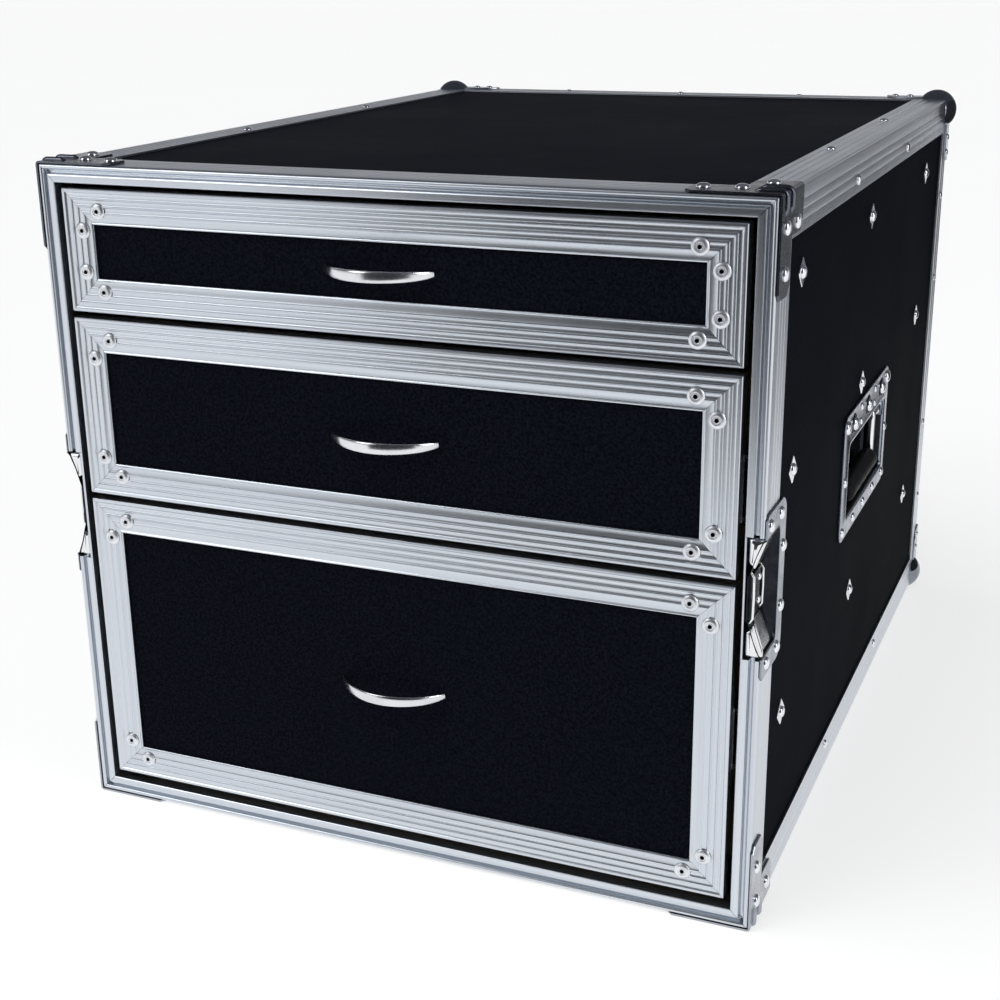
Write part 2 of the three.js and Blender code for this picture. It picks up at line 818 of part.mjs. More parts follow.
// The whole case stands on the balls of its back corners and reaches forward to its pulls.
const roadCase = new THREE.Group();
const forwardReach = pullReach - frontSetback;
roadCase.position.set(0, (forwardReach - ballProud) / 2, ballProud);
roadCase.add(boards(), edges(), rim(), corners(), catches(), handles(), drawers());

export default roadCase;
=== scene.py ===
# Looks of the road case with three drawers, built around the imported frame.
# Metres, +Z up, the front faces -Y. Lengths written in millimetres are multiplied by MM.

import math

import bmesh
import bpy
from mathutils import Matrix, Vector

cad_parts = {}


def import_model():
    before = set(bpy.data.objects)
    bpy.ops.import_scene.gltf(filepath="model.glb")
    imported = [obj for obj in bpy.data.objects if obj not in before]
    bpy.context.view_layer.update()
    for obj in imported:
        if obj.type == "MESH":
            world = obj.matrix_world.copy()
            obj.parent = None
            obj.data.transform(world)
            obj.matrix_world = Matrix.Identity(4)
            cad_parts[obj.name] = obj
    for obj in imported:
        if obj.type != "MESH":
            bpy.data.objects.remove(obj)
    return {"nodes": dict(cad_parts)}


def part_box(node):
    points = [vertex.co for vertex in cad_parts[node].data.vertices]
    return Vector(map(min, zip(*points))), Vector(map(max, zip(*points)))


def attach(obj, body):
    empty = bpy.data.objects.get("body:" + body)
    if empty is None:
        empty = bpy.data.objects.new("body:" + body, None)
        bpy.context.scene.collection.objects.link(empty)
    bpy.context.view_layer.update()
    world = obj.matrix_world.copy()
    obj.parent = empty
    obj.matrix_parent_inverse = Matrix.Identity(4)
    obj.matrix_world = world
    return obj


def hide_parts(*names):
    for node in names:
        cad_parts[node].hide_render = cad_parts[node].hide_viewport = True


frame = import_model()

MM = 0.001
X, Y, Z = Vector((1, 0, 0)), Vector((0, 1, 0)), Vector((0, 0, 1))

# Each side with its sign along X, and each level with the sign along Z that leads inward
SIDES = (("right", 1), ("left", -1))
HEIGHTS = (("top", -1), ("bottom", 1))
CORNERS = [(height, inward, side, sign) for height, inward in HEIGHTS for side, sign in SIDES]
DRAWERS = ("top", "middle", "bottom")

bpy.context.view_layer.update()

# Places, read from the frame
HALF_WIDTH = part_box("rim_right")[1].x
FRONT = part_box("rim_top")[0].y
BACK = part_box("rear_edge_frame")[1].y
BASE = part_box("rim_bottom")[0].z
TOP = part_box("rim_top")[1].z
LEVELS = {"top": TOP, "bottom": BASE}

# Room between a pressed plate and what it covers, in millimetres
LIFT = 0.3

# Shape building


def put(name, data):
    """A new object in the scene."""
    result = bpy.data.objects.new(name, data)
    bpy.context.scene.collection.objects.link(result)
    return result


class Shape:
    """Vertices and faces of one piece, each face with the number of its material."""

    def __init__(self):
        self.points = []
        self.faces = []
        self.looks = []

    def add(self, part, look=0, place=None):
        """Adds (points, faces), carried to a place given as a matrix."""
        points, faces = part
        start = len(self.points)
        self.points += [place @ Vector(p) if place else Vector(p) for p in points]
        self.faces += [[start + i for i in face] for face in faces]
        self.looks += [look] * len(faces)
        return self

    def piece(self, name, body, slot, looks, nodes=(), sharp=35):
        """Makes the object, rides it on its body and hides the CAD nodes that it stands for."""
        mesh = bpy.data.meshes.new(name)
        mesh.from_pydata(self.points, [], self.faces)
        for look in looks:
            mesh.materials.append(look)
        mesh.polygons.foreach_set("material_index", self.looks)
        work = bmesh.new()
        work.from_mesh(mesh)
        bmesh.ops.recalc_face_normals(work, faces=work.faces)
        work.to_mesh(mesh)
        work.free()
        mesh.shade_smooth()
        mesh.set_sharp_from_angle(angle=math.radians(sharp))
        mesh.validate()
        result = put(name, mesh)
        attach(result, body)
        if nodes:
            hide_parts(*nodes)


def loft(rings, closed=False):
    """Faces between rings of equal count; the last ring joins the first, or else the ends are capped."""
    count = len(rings[0])
    points = [p for ring in rings for p in ring]
    faces = []
    spans = len(rings) if closed else len(rings) - 1
    for k in range(spans):
        a, b = k * count, (k + 1) % len(rings) * count
        for i in range(count):
            j = (i + 1) % count
            faces.append([a + i, a + j, b + j, b + i])
    if not closed:
        faces.append(list(range(count))[::-1])
        faces.append([len(points) - count + i for i in range(count)])
    return points, faces


def lathe(profile, segments):
    """A profile of (radius, height) turned about Z, capped at both ends."""
    turns = [2 * math.pi * i / segments for i in range(segments)]
    rings = [[Vector((r * math.cos(t), r * math.sin(t), h)) for t in turns] for r, h in profile]
    return loft(rings)


def arc(centre, radius, start, end, steps):
    """Points of an arc in a plane, from one angle to another in degrees."""
    result = []
    for i in range(steps + 1):
        turn = math.radians(start + (end - start) * i / steps)
        result.append((centre[0] + radius * math.cos(turn), centre[1] + radius * math.sin(turn)))
    return result


def rounded_rectangle(low, high, radius, steps):
    """The outline of a rectangle with rounded corners, anticlockwise from its low corner."""
    left, right = low[0] + radius, high[0] - radius
    below, above = low[1] + radius, high[1] - radius
    result = []
    for x, y, start in ((left, below, 180), (right, below, 270), (right, above, 0), (left, above, 90)):
        result += arc((x, y), radius, start, start + 90, steps)
    return result


def rail(section, corner, along, inward, outward, length, gap=0, mitres=(1, 1), starts=0):
    """A bar whose section is given as (inward, outward); a mitre of 1 cuts its end at 45 degrees."""
    rings = []
    ends = ((starts, 1, mitres[0]), (starts + length, -1, mitres[1]))
    for distance, direction, mitre in ends:
        ring = []
        for u, w in section:
            reach = distance + direction * (gap + mitre * u)
            ring.append(corner + along * reach + inward * u + outward * w)
        rings.append(ring)
    return loft(rings)


def scaled(section, factor=MM):
    """An outline or profile in millimetres, carried to metres or by another factor."""
    return [(u * factor, w * factor) for u, w in section]


def mitred_frame(section, low, high, face, outward, gap):
    """Four mitred lengths round a rectangle: the level ones in material 0, the upright ones in 1."""
    shape = Shape()
    for z, inward in ((high.z, -Z), (low.z, Z)):
        shape.add(rail(section, Vector((low.x, face, z)), X, inward, outward, high.x - low.x, gap), 0)
    for x, inward in ((low.x, X), (high.x, -X)):
        shape.add(rail(section, Vector((x, face, low.z)), Z, inward, outward, high.z - low.z, gap), 1)
    return shape


def middle(name):
    """The centre of a CAD node's box."""
    low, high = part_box(name)
    return (low + high) / 2


def face_x(name, sign):
    """How far a CAD node reaches to the right, or to the left for a sign of -1."""
    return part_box(name)[(sign + 1) // 2].x


def side_place(sign, y, z):
    """The matrix that carries a fitting's own axes to a side, mirrored for the left one."""
    return Matrix.Translation((sign * HALF_WIDTH, y, z)) @ Matrix.Diagonal((sign, 1, 1, 1))


def at_level(outline, height):
    """The points of an outline in millimetres, all at one height."""
    return [Vector((a, b, height)) * MM for a, b in outline]


def facing(place, normal, up=Z):
    """The matrix that puts a piece drawn towards +Z at a place, facing a direction."""
    normal = normal.normalized()
    across = up.cross(normal)
    if across.length < 0.01:
        across = X.copy()
    across.normalize()
    over = normal.cross(across)
    return Matrix.Translation(place) @ Matrix((across, over, normal)).transposed().to_4x4()


def tube(path, radius, segments, up):
    """A round rod along a path, with one radius or one for each point."""
    rings = []
    count = len(path)
    for i, point in enumerate(path):
        ahead = (path[min(i + 1, count - 1)] - path[max(i - 1, 0)]).normalized()
        side = ahead.cross(up).normalized()
        over = side.cross(ahead)
        size = radius[i] if isinstance(radius, list) else radius
        ring = []
        for k in range(segments):
            turn = 2 * math.pi * k / segments
            ring.append(point + side * size * math.cos(turn) + over * size * math.sin(turn))
        rings.append(ring)
    return loft(rings)


# Materials


def new_node(tree, kind, inputs):
    """A new node; each input named is set to a value or joined to another node's output."""
    result = tree.nodes.new(f"ShaderNode{kind}")
    for name, value in inputs.items():
        if isinstance(value, bpy.types.NodeSocket):
            tree.links.new(value, result.inputs[name])
        else:
            result.inputs[name].default_value = value
    return result


def drawn_out(axis, across, along):
    """A texture's scale for each axis, stretched along one of them."""
    return [along if i == axis else across for i in range(3)]


class Look:
    """A material made of nodes around one principled shader."""

    def __init__(self, name, color, metallic, roughness):
        self.result = bpy.data.materials.new(name)
        self.result.use_nodes = True
        self.tree = self.result.node_tree
        self.shader = self.tree.nodes["Principled BSDF"]
        self.place = self.tree.nodes.new("ShaderNodeTexCoord").outputs["Object"]
        self.set("Base Color", (*color, 1))
        self.set("Metallic", metallic)
        self.set("Roughness", roughness)

    def set(self, name, value):
        self.shader.inputs[name].default_value = value

    def link(self, output, name):
        self.tree.links.new(output, self.shader.inputs[name])

    def stretched(self, scale):
        """The piece's own coordinates, multiplied by one scale or by one for each axis."""
        scale = scale if isinstance(scale, list) else [scale] * 3
        return new_node(self.tree, "Mapping", {"Vector": self.place, "Scale": scale}).outputs["Vector"]

    def noise(self, scale, detail=3, roughness=0.5, distortion=0):
        settings = {"Scale": 1, "Detail": detail, "Roughness": roughness, "Distortion": distortion}
        settings["Vector"] = self.stretched(scale)
        return new_node(self.tree, "TexNoise", settings).outputs["Fac"]

    def cells(self, scale):
        result = new_node(self.tree, "TexVoronoi", {"Vector": self.stretched(scale), "Scale": 1})
        result.feature = "SMOOTH_F1"
        return result.outputs["Distance"]

    def math(self, operation, *terms):
        """A calculation with numbers and the outputs of other nodes."""
        result = new_node(self.tree, "Math", dict(enumerate(terms)))
        result.operation = operation
        return result.outputs[0]

    def sum(self, first, second, weight=1.0):
        """The first value and a share of the second."""
        return self.math("MULTIPLY_ADD", second, weight, first)

    def ranged(self, value, low, high, from_low, from_high):
        span = {"From Min": from_low, "From Max": from_high, "To Min": low, "To Max": high}
        return new_node(self.tree, "MapRange", {"Value": value, **span}).outputs["Result"]

    def tint(self, value, first, second, from_low=0.3, from_high=0.7):
        """The base colour goes from the first to the second as the value rises."""
        share = self.ranged(value, 0, 1, from_low, from_high)
        result = new_node(self.tree, "Mix", {0: share, 6: (*first, 1), 7: (*second, 1)})
        result.data_type = "RGBA"
        self.link(result.outputs[2], "Base Color")

    def gloss(self, value, low, high, from_low=0.3, from_high=0.7):
        """The roughness goes from low to high as the value rises."""
        self.link(self.ranged(value, low, high, from_low, from_high), "Roughness")

    def bump(self, height, strength, distance):
        settings = {"Height": height, "Strength": strength, "Distance": distance}
        self.link(new_node(self.tree, "Bump", settings).outputs["Normal"], "Normal")


def laminate(name, dark, light, grain, specular):
    """Black laminate with a pressed pebble grain."""
    look = Look(name, dark, 0, 0.5)
    fine = look.noise(grain * 0.8, 4, 0.6)
    broad = look.noise(9)
    pebbles = look.cells(grain)
    look.tint(fine, dark, light, 0.38, 0.66)
    look.gloss(look.sum(fine, broad, 0.6), 0.44, 0.60, 0.5, 1.1)
    look.bump(look.sum(pebbles, fine, 0.5), 0.5, 0.25 * MM)
    look.set("Specular IOR Level", specular)
    return look.result


ALUMINIUM_LIGHT = (0.69, 0.73, 0.78)
ALUMINIUM_DARK = (0.60, 0.64, 0.70)


def brushed(name, axis):
    """Extruded aluminium with die lines along one axis."""
    look = Look(name, ALUMINIUM_LIGHT, 1, 0.32)
    streaks = look.noise(drawn_out(axis, 1600, 3), 3, 0.6)
    tones = look.noise(drawn_out(axis, 340, 0.5), 2)
    cloud = look.noise(14, 4, 0.6)
    look.tint(look.sum(tones, streaks, 0.5), ALUMINIUM_LIGHT, ALUMINIUM_DARK, 0.55, 0.95)
    look.gloss(look.sum(streaks, cloud, 0.4), 0.24, 0.36, 0.45, 0.95)
    look.bump(look.sum(streaks, tones, 0.8), 0.10, 0.05 * MM)
    return look.result


def plated(name, color, tint, rough, scale=60, bump=0.08):
    """Pressed steel with a plated skin: a faint cloud in its tone and gloss."""
    look = Look(name, color, 1, rough[0])
    cloud = look.noise(scale, 5, 0.62, 0.4)
    fine = look.noise(900, 3, 0.6)
    look.tint(cloud, color, tint)
    look.gloss(look.sum(cloud, fine, 0.4), *rough, 0.5, 0.95)
    look.bump(look.sum(cloud, fine, 0.25), bump, 0.1 * MM)
    return look.result


def grip_look():
    """Moulded black grip: a fine spark-eroded grain with a dull sheen."""
    look = Look("grip_moulding", (0.012, 0.012, 0.013), 0, 0.5)
    grain = look.noise(1100, 4, 0.65)
    look.tint(look.noise(30), (0.005, 0.005, 0.006), (0.011, 0.011, 0.013), 0.45, 0.75)
    look.gloss(grain, 0.42, 0.62)
    look.bump(grain, 0.4, 0.15 * MM)
    look.set("Specular IOR Level", 0.12)
    return look.result


BIRCH_LIGHT = (0.55, 0.38, 0.21)
BIRCH_DARK = (0.40, 0.255, 0.13)


def plywood_look(name, axis):
    """Birch plywood with its figure along one axis."""
    look = Look(name, BIRCH_LIGHT, 0, 0.55)
    figure = look.noise(drawn_out(axis, 26, 2.2), 5, 0.55, 1.2)
    pore = look.noise(drawn_out(axis, 900, 30), 3, 0.6)
    look.tint(look.sum(figure, pore, 0.35), BIRCH_LIGHT, BIRCH_DARK, 0.5, 0.9)
    look.gloss(pore, 0.45, 0.65)
    look.bump(pore, 0.3, 0.1 * MM)
    return look.result


SIDE_LAMINATE = laminate("black_laminate", (0.002, 0.0026, 0.004), (0.0066, 0.0082, 0.0122), 520, 0.002)
FRONT_LAMINATE = laminate("drawer_laminate", (0.0016, 0.002, 0.0038), (0.0052, 0.006, 0.01), 620, 0.008)
BRUSHED = [brushed(f"brushed_aluminium_{axis}", i) for i, axis in enumerate("xyz")]
ZINC = plated("zinc_plate", (0.33, 0.36, 0.42), (0.24, 0.27, 0.32), (0.18, 0.34))
# Painted light: the braces are all one steel; the upper copy is darkened as painted shade and the lower
# copy lightened as painted light.
SHADED_AND_LIT_BRACES = {
    "top": plated("upper_brace_steel_painted_shade", (0.17, 0.185, 0.215), (0.11, 0.12, 0.145), (0.20, 0.34), 70),
    "bottom": plated("lower_brace_steel_painted_light", (0.46, 0.48, 0.52), (0.34, 0.36, 0.41), (0.20, 0.34), 70),
}
POLISHED = plated("polished_rivet", (0.90, 0.92, 0.95), (0.80, 0.82, 0.86), (0.13, 0.22), 140)
RIVET = plated("satin_rivet", (0.86, 0.88, 0.91), (0.76, 0.78, 0.82), (0.34, 0.46), 140)
STEEL = plated("bright_steel", (0.82, 0.83, 0.85), (0.70, 0.71, 0.74), (0.12, 0.24), 140)
CHROME = plated("chrome", (0.86, 0.86, 0.87), (0.80, 0.81, 0.83), (0.04, 0.10), 40, 0.03)
PULL = plated("pull_steel", (0.80, 0.81, 0.83), (0.70, 0.71, 0.74), (0.16, 0.24), 60, 0.03)
LEG = plated("ball_leg_steel", (0.46, 0.48, 0.53), (0.36, 0.38, 0.42), (0.16, 0.28), 70)
# Painted reflection: the balls are chrome, their colour darkened so they read as mirroring a dark room.
DARKENED_BALL = plated("ball_chrome_painted_dark_reflection", (0.30, 0.315, 0.35), (0.22, 0.235, 0.27), (0.06, 0.14), 50, 0.04)
# Painted shade: the dishes' own pressed steel darkened to near black inside the catches and handle pans,
# on the catches' floors and keepers and on the collars round the handle bosses.
SHADED_DISH = plated("dish_steel_painted_shade", (0.030, 0.033, 0.040), (0.012, 0.013, 0.017), (0.22, 0.40), 80)
# Painted shade: near-black steel in the shallow rivet bores and screw sockets, where a hole's shade
# falls.
SHADED_BORE = plated("rivet_bore_painted_shade", (0.05, 0.05, 0.055), (0.02, 0.02, 0.022), (0.4, 0.6), 400)
RUNNER = plated("runner_steel", (0.58, 0.59, 0.62), (0.52, 0.53, 0.56), (0.24, 0.34), 120)
GRIP = grip_look()
PLYWOOD = [plywood_look(f"plywood_{axis}", i) for i, axis in enumerate("xyz")]


def dress(node, look):
    """A CAD node keeps its shape and gets a new material."""
    piece = frame["nodes"][node]
    piece.data.materials.clear()
    piece.data.materials.append(look)


# Fasteners


def blind_rivet(shape, place, normal):
    """A domed head with a ring pressed into it and the bore of the broken mandrel."""
    dome = [(5.8, -0.3), (5.8, 0.25), (5.5, 0.65), (4.8, 1.15), (3.9, 1.5), (3.1, 1.62), (2.75, 1.5)]
    collar = [(2.55, 1.05), (2.3, 1.0), (2.1, 1.3), (1.75, 1.35), (1.5, 1.2)]
    bore = [(1.5, 1.2), (1.4, 0.2), (0.3, 0.15)]
    where = facing(place, normal)
    shape.add(lathe(scaled(dome + collar), 28), 0, where)
    # The bore takes material 1, painted shade in the hole.
    shape.add(lathe(scaled(bore), 28), 1, where)


def dome_rivet(shape, place, normal, radius=3.8 * MM, look=0):
    """A small solid rivet with a low round head."""
    head = [(3.8, -0.2), (3.8, 0.3), (3.45, 0.9), (2.7, 1.45), (1.7, 1.8), (0.6, 1.95), (0.05, 1.96)]
    shape.add(lathe(scaled(head, radius / head[0][0]), 20), look, facing(place, normal))


def rivet_pair(shape, corner, first, second, margin, radius=3.8):
    """A rivet on each leg of an edge, whose two faces look along the two directions."""
    dome_rivet(shape, corner - first * margin * MM, second, radius * MM)
    dome_rivet(shape, corner - second * margin * MM, first, radius * MM)


def placed_rivet(shape, place, point, normal, radius, look):
    """A round-headed rivet at a point in millimetres in the axes of a place, which may be mirrored."""
    axis = place.to_3x3() @ normal
    dome_rivet(shape, place @ (Vector(point) * MM), axis, radius * MM, look)


# Drawer fronts

FRAME_FACE = 24.5
RIDGES = ((1.5, 1.4), (6.9, 0.75), (11.9, 0.75), (16.9, 0.75))
RIDGE_RISE = 0.6
BAND_SAG = 0.28
FRAME_GAP = 0.12


def frame_section(depth):
    """Section of a front's frame: ridges, hollow bands between them, a flat band and an inner lip."""
    section = [(0, -depth), (0, -0.5)]
    edge = 0.15
    for centre, half in RIDGES:
        start, end = centre - half, centre + half
        if start > edge + 0.5:
            sag = BAND_SAG * 0.6
            section += [(edge + 0.35, -sag), ((edge + start) / 2, -BAND_SAG), (start - 0.35, -sag)]
        shoulder, rise = half * 0.62, RIDGE_RISE * 0.82
        section += [(start, 0), (centre - shoulder, rise), (centre, RIDGE_RISE)]
        section += [(centre + shoulder, rise), (end, 0)]
        edge = end
    inner = FRAME_FACE
    section += [(edge + 0.3, -0.12), (inner - 1.9, -0.12), (inner - 1.5, 0.25), (inner - 0.9, 0.5)]
    section += [(inner - 0.3, 0.3), (inner, -0.1), (inner, -1.45), (1.5, -1.45), (1.5, -depth)]
    return scaled(section)


def drawer_frame(name):
    """Four mitred lengths of ridged extrusion round a drawer's front."""
    low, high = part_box(f"{name}_drawer_frame")
    face = low.y + RIDGE_RISE * MM
    shape = mitred_frame(frame_section((high.y - face) / MM), low, high, face, -Y, FRAME_GAP * MM)
    looks = (BRUSHED[0], BRUSHED[2])
    shape.piece(f"{name}_front_frame", f"{name}_drawer", "aluminium", looks, [f"{name}_drawer_frame"])


RIVET_FROM_END = 29 * MM
RIVET_FROM_EDGE = 15.2 * MM
RIVET_SEAT = 0.25 * MM


def drawer_rivets(name):
    """Two rivets at each corner of the frame, one on the rail and one on the stile."""
    low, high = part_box(f"{name}_drawer_frame")
    places = ((RIVET_FROM_END, RIVET_FROM_EDGE), (RIVET_FROM_EDGE, RIVET_FROM_END))
    shape = Shape()
    for x, inward_x in ((low.x, 1), (high.x, -1)):
        for z, inward_z in ((low.z, 1), (high.z, -1)):
            for across, up in places:
                place = Vector((x + inward_x * across, low.y + RIVET_SEAT, z + inward_z * up))
                blind_rivet(shape, place, -Y)
    shape.piece(f"{name}_front_rivets", f"{name}_drawer", "aluminium", (RIVET, SHADED_BORE))


PULL_SHOULDER = 21
PULL_HALF_THICK = 1.3
PULL_END_SHARE = 0.54
PULL_SWELL = 0.34
PULL_STEPS = 44
PULL_ROUND = 20


def eased(value, power):
    """The value raised to a power, with its sign kept."""
    return math.copysign(abs(value) ** power, value)


def bezier(points, t):
    """A point on the cubic curve through four control points."""
    a, b, c, d = points
    r = 1 - t
    return a * r ** 3 + b * 3 * r * r * t + c * 3 * r * t * t + d * t ** 3


def drawer_pull(name):
    """A flat strip bent to a shallow bow, crowned on its outer face and thinned towards its ends."""
    node = f"{name}_drawer_pull"
    low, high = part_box(node)
    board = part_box(f"{name}_drawer_front")[0].y
    centre = (low.z + high.z) / 2
    half_thick = PULL_HALF_THICK * MM
    half_high = (high.z - low.z) / 2
    reach = (high.x - low.x) / 2 - half_thick
    crest = (board - low.y - half_thick) * 4 / 3
    shoulder = PULL_SHOULDER * MM
    course = ((-reach, 0), (-shoulder, crest), (shoulder, crest), (reach, 0))
    curve = [Vector((x, board - out, centre)) for x, out in course]
    rings = []
    for i in range(PULL_STEPS + 1):
        t = i / PULL_STEPS
        place = bezier(curve, t)
        slope = (bezier(curve, min(t + 0.01, 1)) - bezier(curve, max(t - 0.01, 0))).normalized()
        normal = Vector((slope.y, -slope.x, 0))
        swell = PULL_END_SHARE + PULL_SWELL * math.sin(math.pi * t) ** 0.7
        section = []
        for k in range(PULL_ROUND):
            turn = 2 * math.pi * k / PULL_ROUND
            across = eased(math.cos(turn), 0.85) * half_high * swell
            point = place + Z * across + normal * eased(math.sin(turn), 0.8) * half_thick
            point.y = min(point.y, board)
            section.append(point)
        rings.append(section)
    shape = Shape().add(loft(rings))
    shape.piece(f"{name}_pull_bow", f"{name}_drawer", "pull_chrome", (PULL,), [node], 50)


# Drawer boxes and runners

BOX_BOARD = 9
PLY_LAYER = 1.8
RUNNER_WALL = 1.2
RUNNER_SCREWS = 6
RUNNER_SLOTS = 5
RUNNER_SLOT = (16, 3.4)
BOX_SCREW_SHARES = (0.14, 0.86)


def ply_edge_look(reach):
    """Sawn upper edges: dark and light veneers across each board; side boards lie beyond the reach."""
    look = Look("ply_edges", (0.5, 0.35, 0.2), 0, 0.6)
    parts = new_node(look.tree, "SeparateXYZ", {0: look.place})
    width = look.math("ABSOLUTE", parts.outputs["X"])
    on_side = look.math("GREATER_THAN", width, reach)
    across = look.math("MULTIPLY", width, on_side)
    along = look.math("MULTIPLY", parts.outputs["Y"], look.math("SUBTRACT", 1, on_side))
    turn = look.math("MULTIPLY", look.math("ADD", across, along), 2 * math.pi / (PLY_LAYER * MM))
    fibres = look.noise(700, 3, 0.6)
    layers = look.sum(look.math("SINE", turn), fibres, 0.9)
    look.tint(layers, (0.62, 0.45, 0.26), (0.33, 0.20, 0.10), -0.6, 1.3)
    look.bump(fibres, 0.3, 0.1 * MM)
    return look.result


def drawer_box(name):
    """Each board of the box shows its own grain, and the upper edges their layers."""
    node = f"{name}_drawer_box"
    mesh = frame["nodes"][node].data
    reach = max(v.co.x for v in mesh.vertices)
    crest = max(v.co.z for v in mesh.vertices)
    mesh.materials.clear()
    for look in (PLYWOOD[0], PLYWOOD[1], ply_edge_look(reach - BOX_BOARD * MM)):
        mesh.materials.append(look)
    for face in mesh.polygons:
        if face.normal.z > 0.9 and face.center.z > crest - MM:
            face.material_index = 2
        elif abs(face.normal.y) > 0.9:
            face.material_index = 0
        else:
            face.material_index = 1


def box_screws(name):
    """Countersunk screws that hold the box's sides to its front and back."""
    low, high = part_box(f"{name}_drawer_box")
    shape = Shape()
    head = [(3.6, -0.3), (3.6, 0.1), (3.3, 0.22), (1.5, 0.22), (1.3, -0.2)]
    socket = [(1.5, -0.25), (1.4, 0.02), (0.1, 0.03)]
    margin = BOX_BOARD * MM / 2
    for x, outward in ((high.x, X), (low.x, -X)):
        for y in (low.y + margin, high.y - margin):
            for share in BOX_SCREW_SHARES:
                place = facing(Vector((x, y, low.z + (high.z - low.z) * share)), outward)
                shape.add(lathe(scaled(head), 20), 0, place)
                # The socket takes material 1, painted shade in the hole.
                shape.add(lathe(scaled(socket), 6), 1, place)
    shape.piece(f"{name}_box_screws", f"{name}_drawer", "runner_steel", (STEEL, SHADED_BORE))


def along_member(node, count, x):
    """Points spaced evenly along a runner's member, at one distance from the middle of the case."""
    low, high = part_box(node)
    for i in range(count):
        yield Vector((x, low.y + (high.y - low.y) * (i + 0.5) / count, (low.z + high.z) / 2))


def runner_screws(name):
    """Pan-head screws through the drawer members into the box."""
    shape = Shape()
    for side, sign in SIDES:
        node = f"{name}_runner_drawer_{side}"
        web = face_x(node, -sign) + sign * RUNNER_WALL * MM
        for point in along_member(node, RUNNER_SCREWS, web):
            dome_rivet(shape, point, X * sign)
    shape.piece(f"{name}_runner_screws", f"{name}_drawer", "runner_steel", (STEEL,))


def runner_slots(name):
    """Pressed slots along the middle members' webs."""
    rings = []
    for grow, rise in ((0, -0.2), (0, 0.22), (-0.8, 0.3), (-1.3, 0.05)):
        half = Vector(RUNNER_SLOT) + Vector((grow, grow))
        rings.append(at_level(rounded_rectangle(-half, half, half.y - 0.2, 4), rise))
    shape = Shape()
    for side, sign in SIDES:
        node = f"{name}_runner_middle_{side}"
        for point in along_member(node, RUNNER_SLOTS, face_x(node, sign)):
            shape.add(loft(rings), 0, facing(point, X * sign))
    shape.piece(f"{name}_runner_slots", f"{name}_runner_middles", "runner_steel", (RUNNER,))


# Front rim

RIM_LEG = 36
RIM_THICKNESS = 12.6
RIM_INNER_LEG = 20
RIM_NOSE = 8
RIM_LINES = (27, 20, 13)
RIM_GAP = 0.2


def rim_section():
    """Section in (inward, outward): a round bead, the tongue's groove, an inner lip and two legs."""
    section = [(0, -RIM_LEG), (0, -RIM_LEG + 0.4)]
    for line in RIM_LINES:
        section += [(0, -line - 0.9), (0.35, -line - 0.45), (0, -line)]
    section += arc((1.8, -1.8), 1.8, 180, 0, 10)
    section += [(5.2 + 1.6 * u, 1.3 * w - 4.0) for u, w in arc((0, 0), 1, 180, 360, 6)]
    section += [(6.8, -0.9), (7.05, -0.35), (7.6, -0.05), (8.3, 0)]
    section += [(11.4, 0), (12.1, -0.12), (12.5, -0.5), (RIM_THICKNESS, -1.1)]
    section += [(RIM_THICKNESS, -RIM_INNER_LEG), (11.1, -RIM_INNER_LEG)]
    section += [(11.1, -RIM_NOSE), (1.5, -RIM_NOSE), (1.5, -RIM_LEG)]
    return scaled(section)


def inner_leg_section():
    """What is left of an upright where its outer part is notched."""
    section = [(11.1, -RIM_INNER_LEG), (RIM_THICKNESS, -RIM_INNER_LEG)]
    return scaled(section + [(RIM_THICKNESS, -0.4), (12.3, 0), (11.1, 0)])


def front_rim():
    """Two level lengths, and two uprights that are notched for the catches."""
    whole, gap = rim_section(), RIM_GAP * MM
    for height, inward in HEIGHTS:
        corner = Vector((-HALF_WIDTH, FRONT, LEVELS[height]))
        shape = Shape().add(rail(whole, corner, X, Z * inward, -Y, 2 * HALF_WIDTH, gap))
        shape.piece(f"front_rim_{height}", "case", "aluminium", (BRUSHED[0],), [f"rim_{height}"], 28)
    for side, sign in SIDES:
        below, above = notch_levels(side)
        corner, inward = Vector((sign * HALF_WIDTH, FRONT, BASE)), -X * sign
        shape = Shape().add(rail(whole, corner, Z, inward, -Y, below, gap, (1, 0)))
        shape.add(rail(whole, corner, Z, inward, -Y, TOP - BASE - above, gap, (0, 1), above))
        shape.add(rail(inner_leg_section(), corner, Z, inward, -Y, above - below, 0, (0, 0), below))
        shape.piece(f"front_rim_{side}", "case", "aluminium", (BRUSHED[2],), [f"rim_{side}"], 28)


def notch_levels(side):
    """Heights over the base between which an upright of the rim is cut away for its catch."""
    centre = middle(f"catch_dish_{side}").z - BASE
    half = (CATCH_MOUTH + 0.9) * MM
    return centre - half, centre + half


# Edge extrusions

EDGE_LEG = 30
REAR_GAP = 0.15


def angle_section(lines, half, depth, course, lip):
    """An angle with fine grooves down one leg and its own course along the other."""
    outer = [(0, EDGE_LEG), (0, EDGE_LEG - 0.4)]
    for line in lines:
        outer += [(0, line + half), (depth, line), (0, line - half)]
    outer += arc((2, 2), 2, 180, 270, 5) + course
    outer += [(EDGE_LEG - 0.4, 0), (EDGE_LEG, lip), (EDGE_LEG, 1.5), (1.5, 1.5), (1.5, EDGE_LEG)]
    return [(u * MM, -w * MM) for u, w in outer]


def long_edge_section():
    """Three grooves on the side and four broad hollows on top."""
    course = []
    for start in (6.2, 12.2, 18.2, 24.2):
        course += [(start, 0), (start + 0.35, 0.45), (start + 0.9, 0.5)]
        course += [(start + 1.45, 0.45), (start + 1.8, 0)]
    return angle_section((23, 16.5, 10), 0.5, 0.22, course, 0.35)


def rear_edge_section():
    """Two grooves on each leg."""
    course = []
    for line in (9, 20):
        course += [(line - 0.6, 0), (line, 0.3), (line + 0.6, 0)]
    return angle_section((20, 9), 0.6, 0.3, course, 0.4)


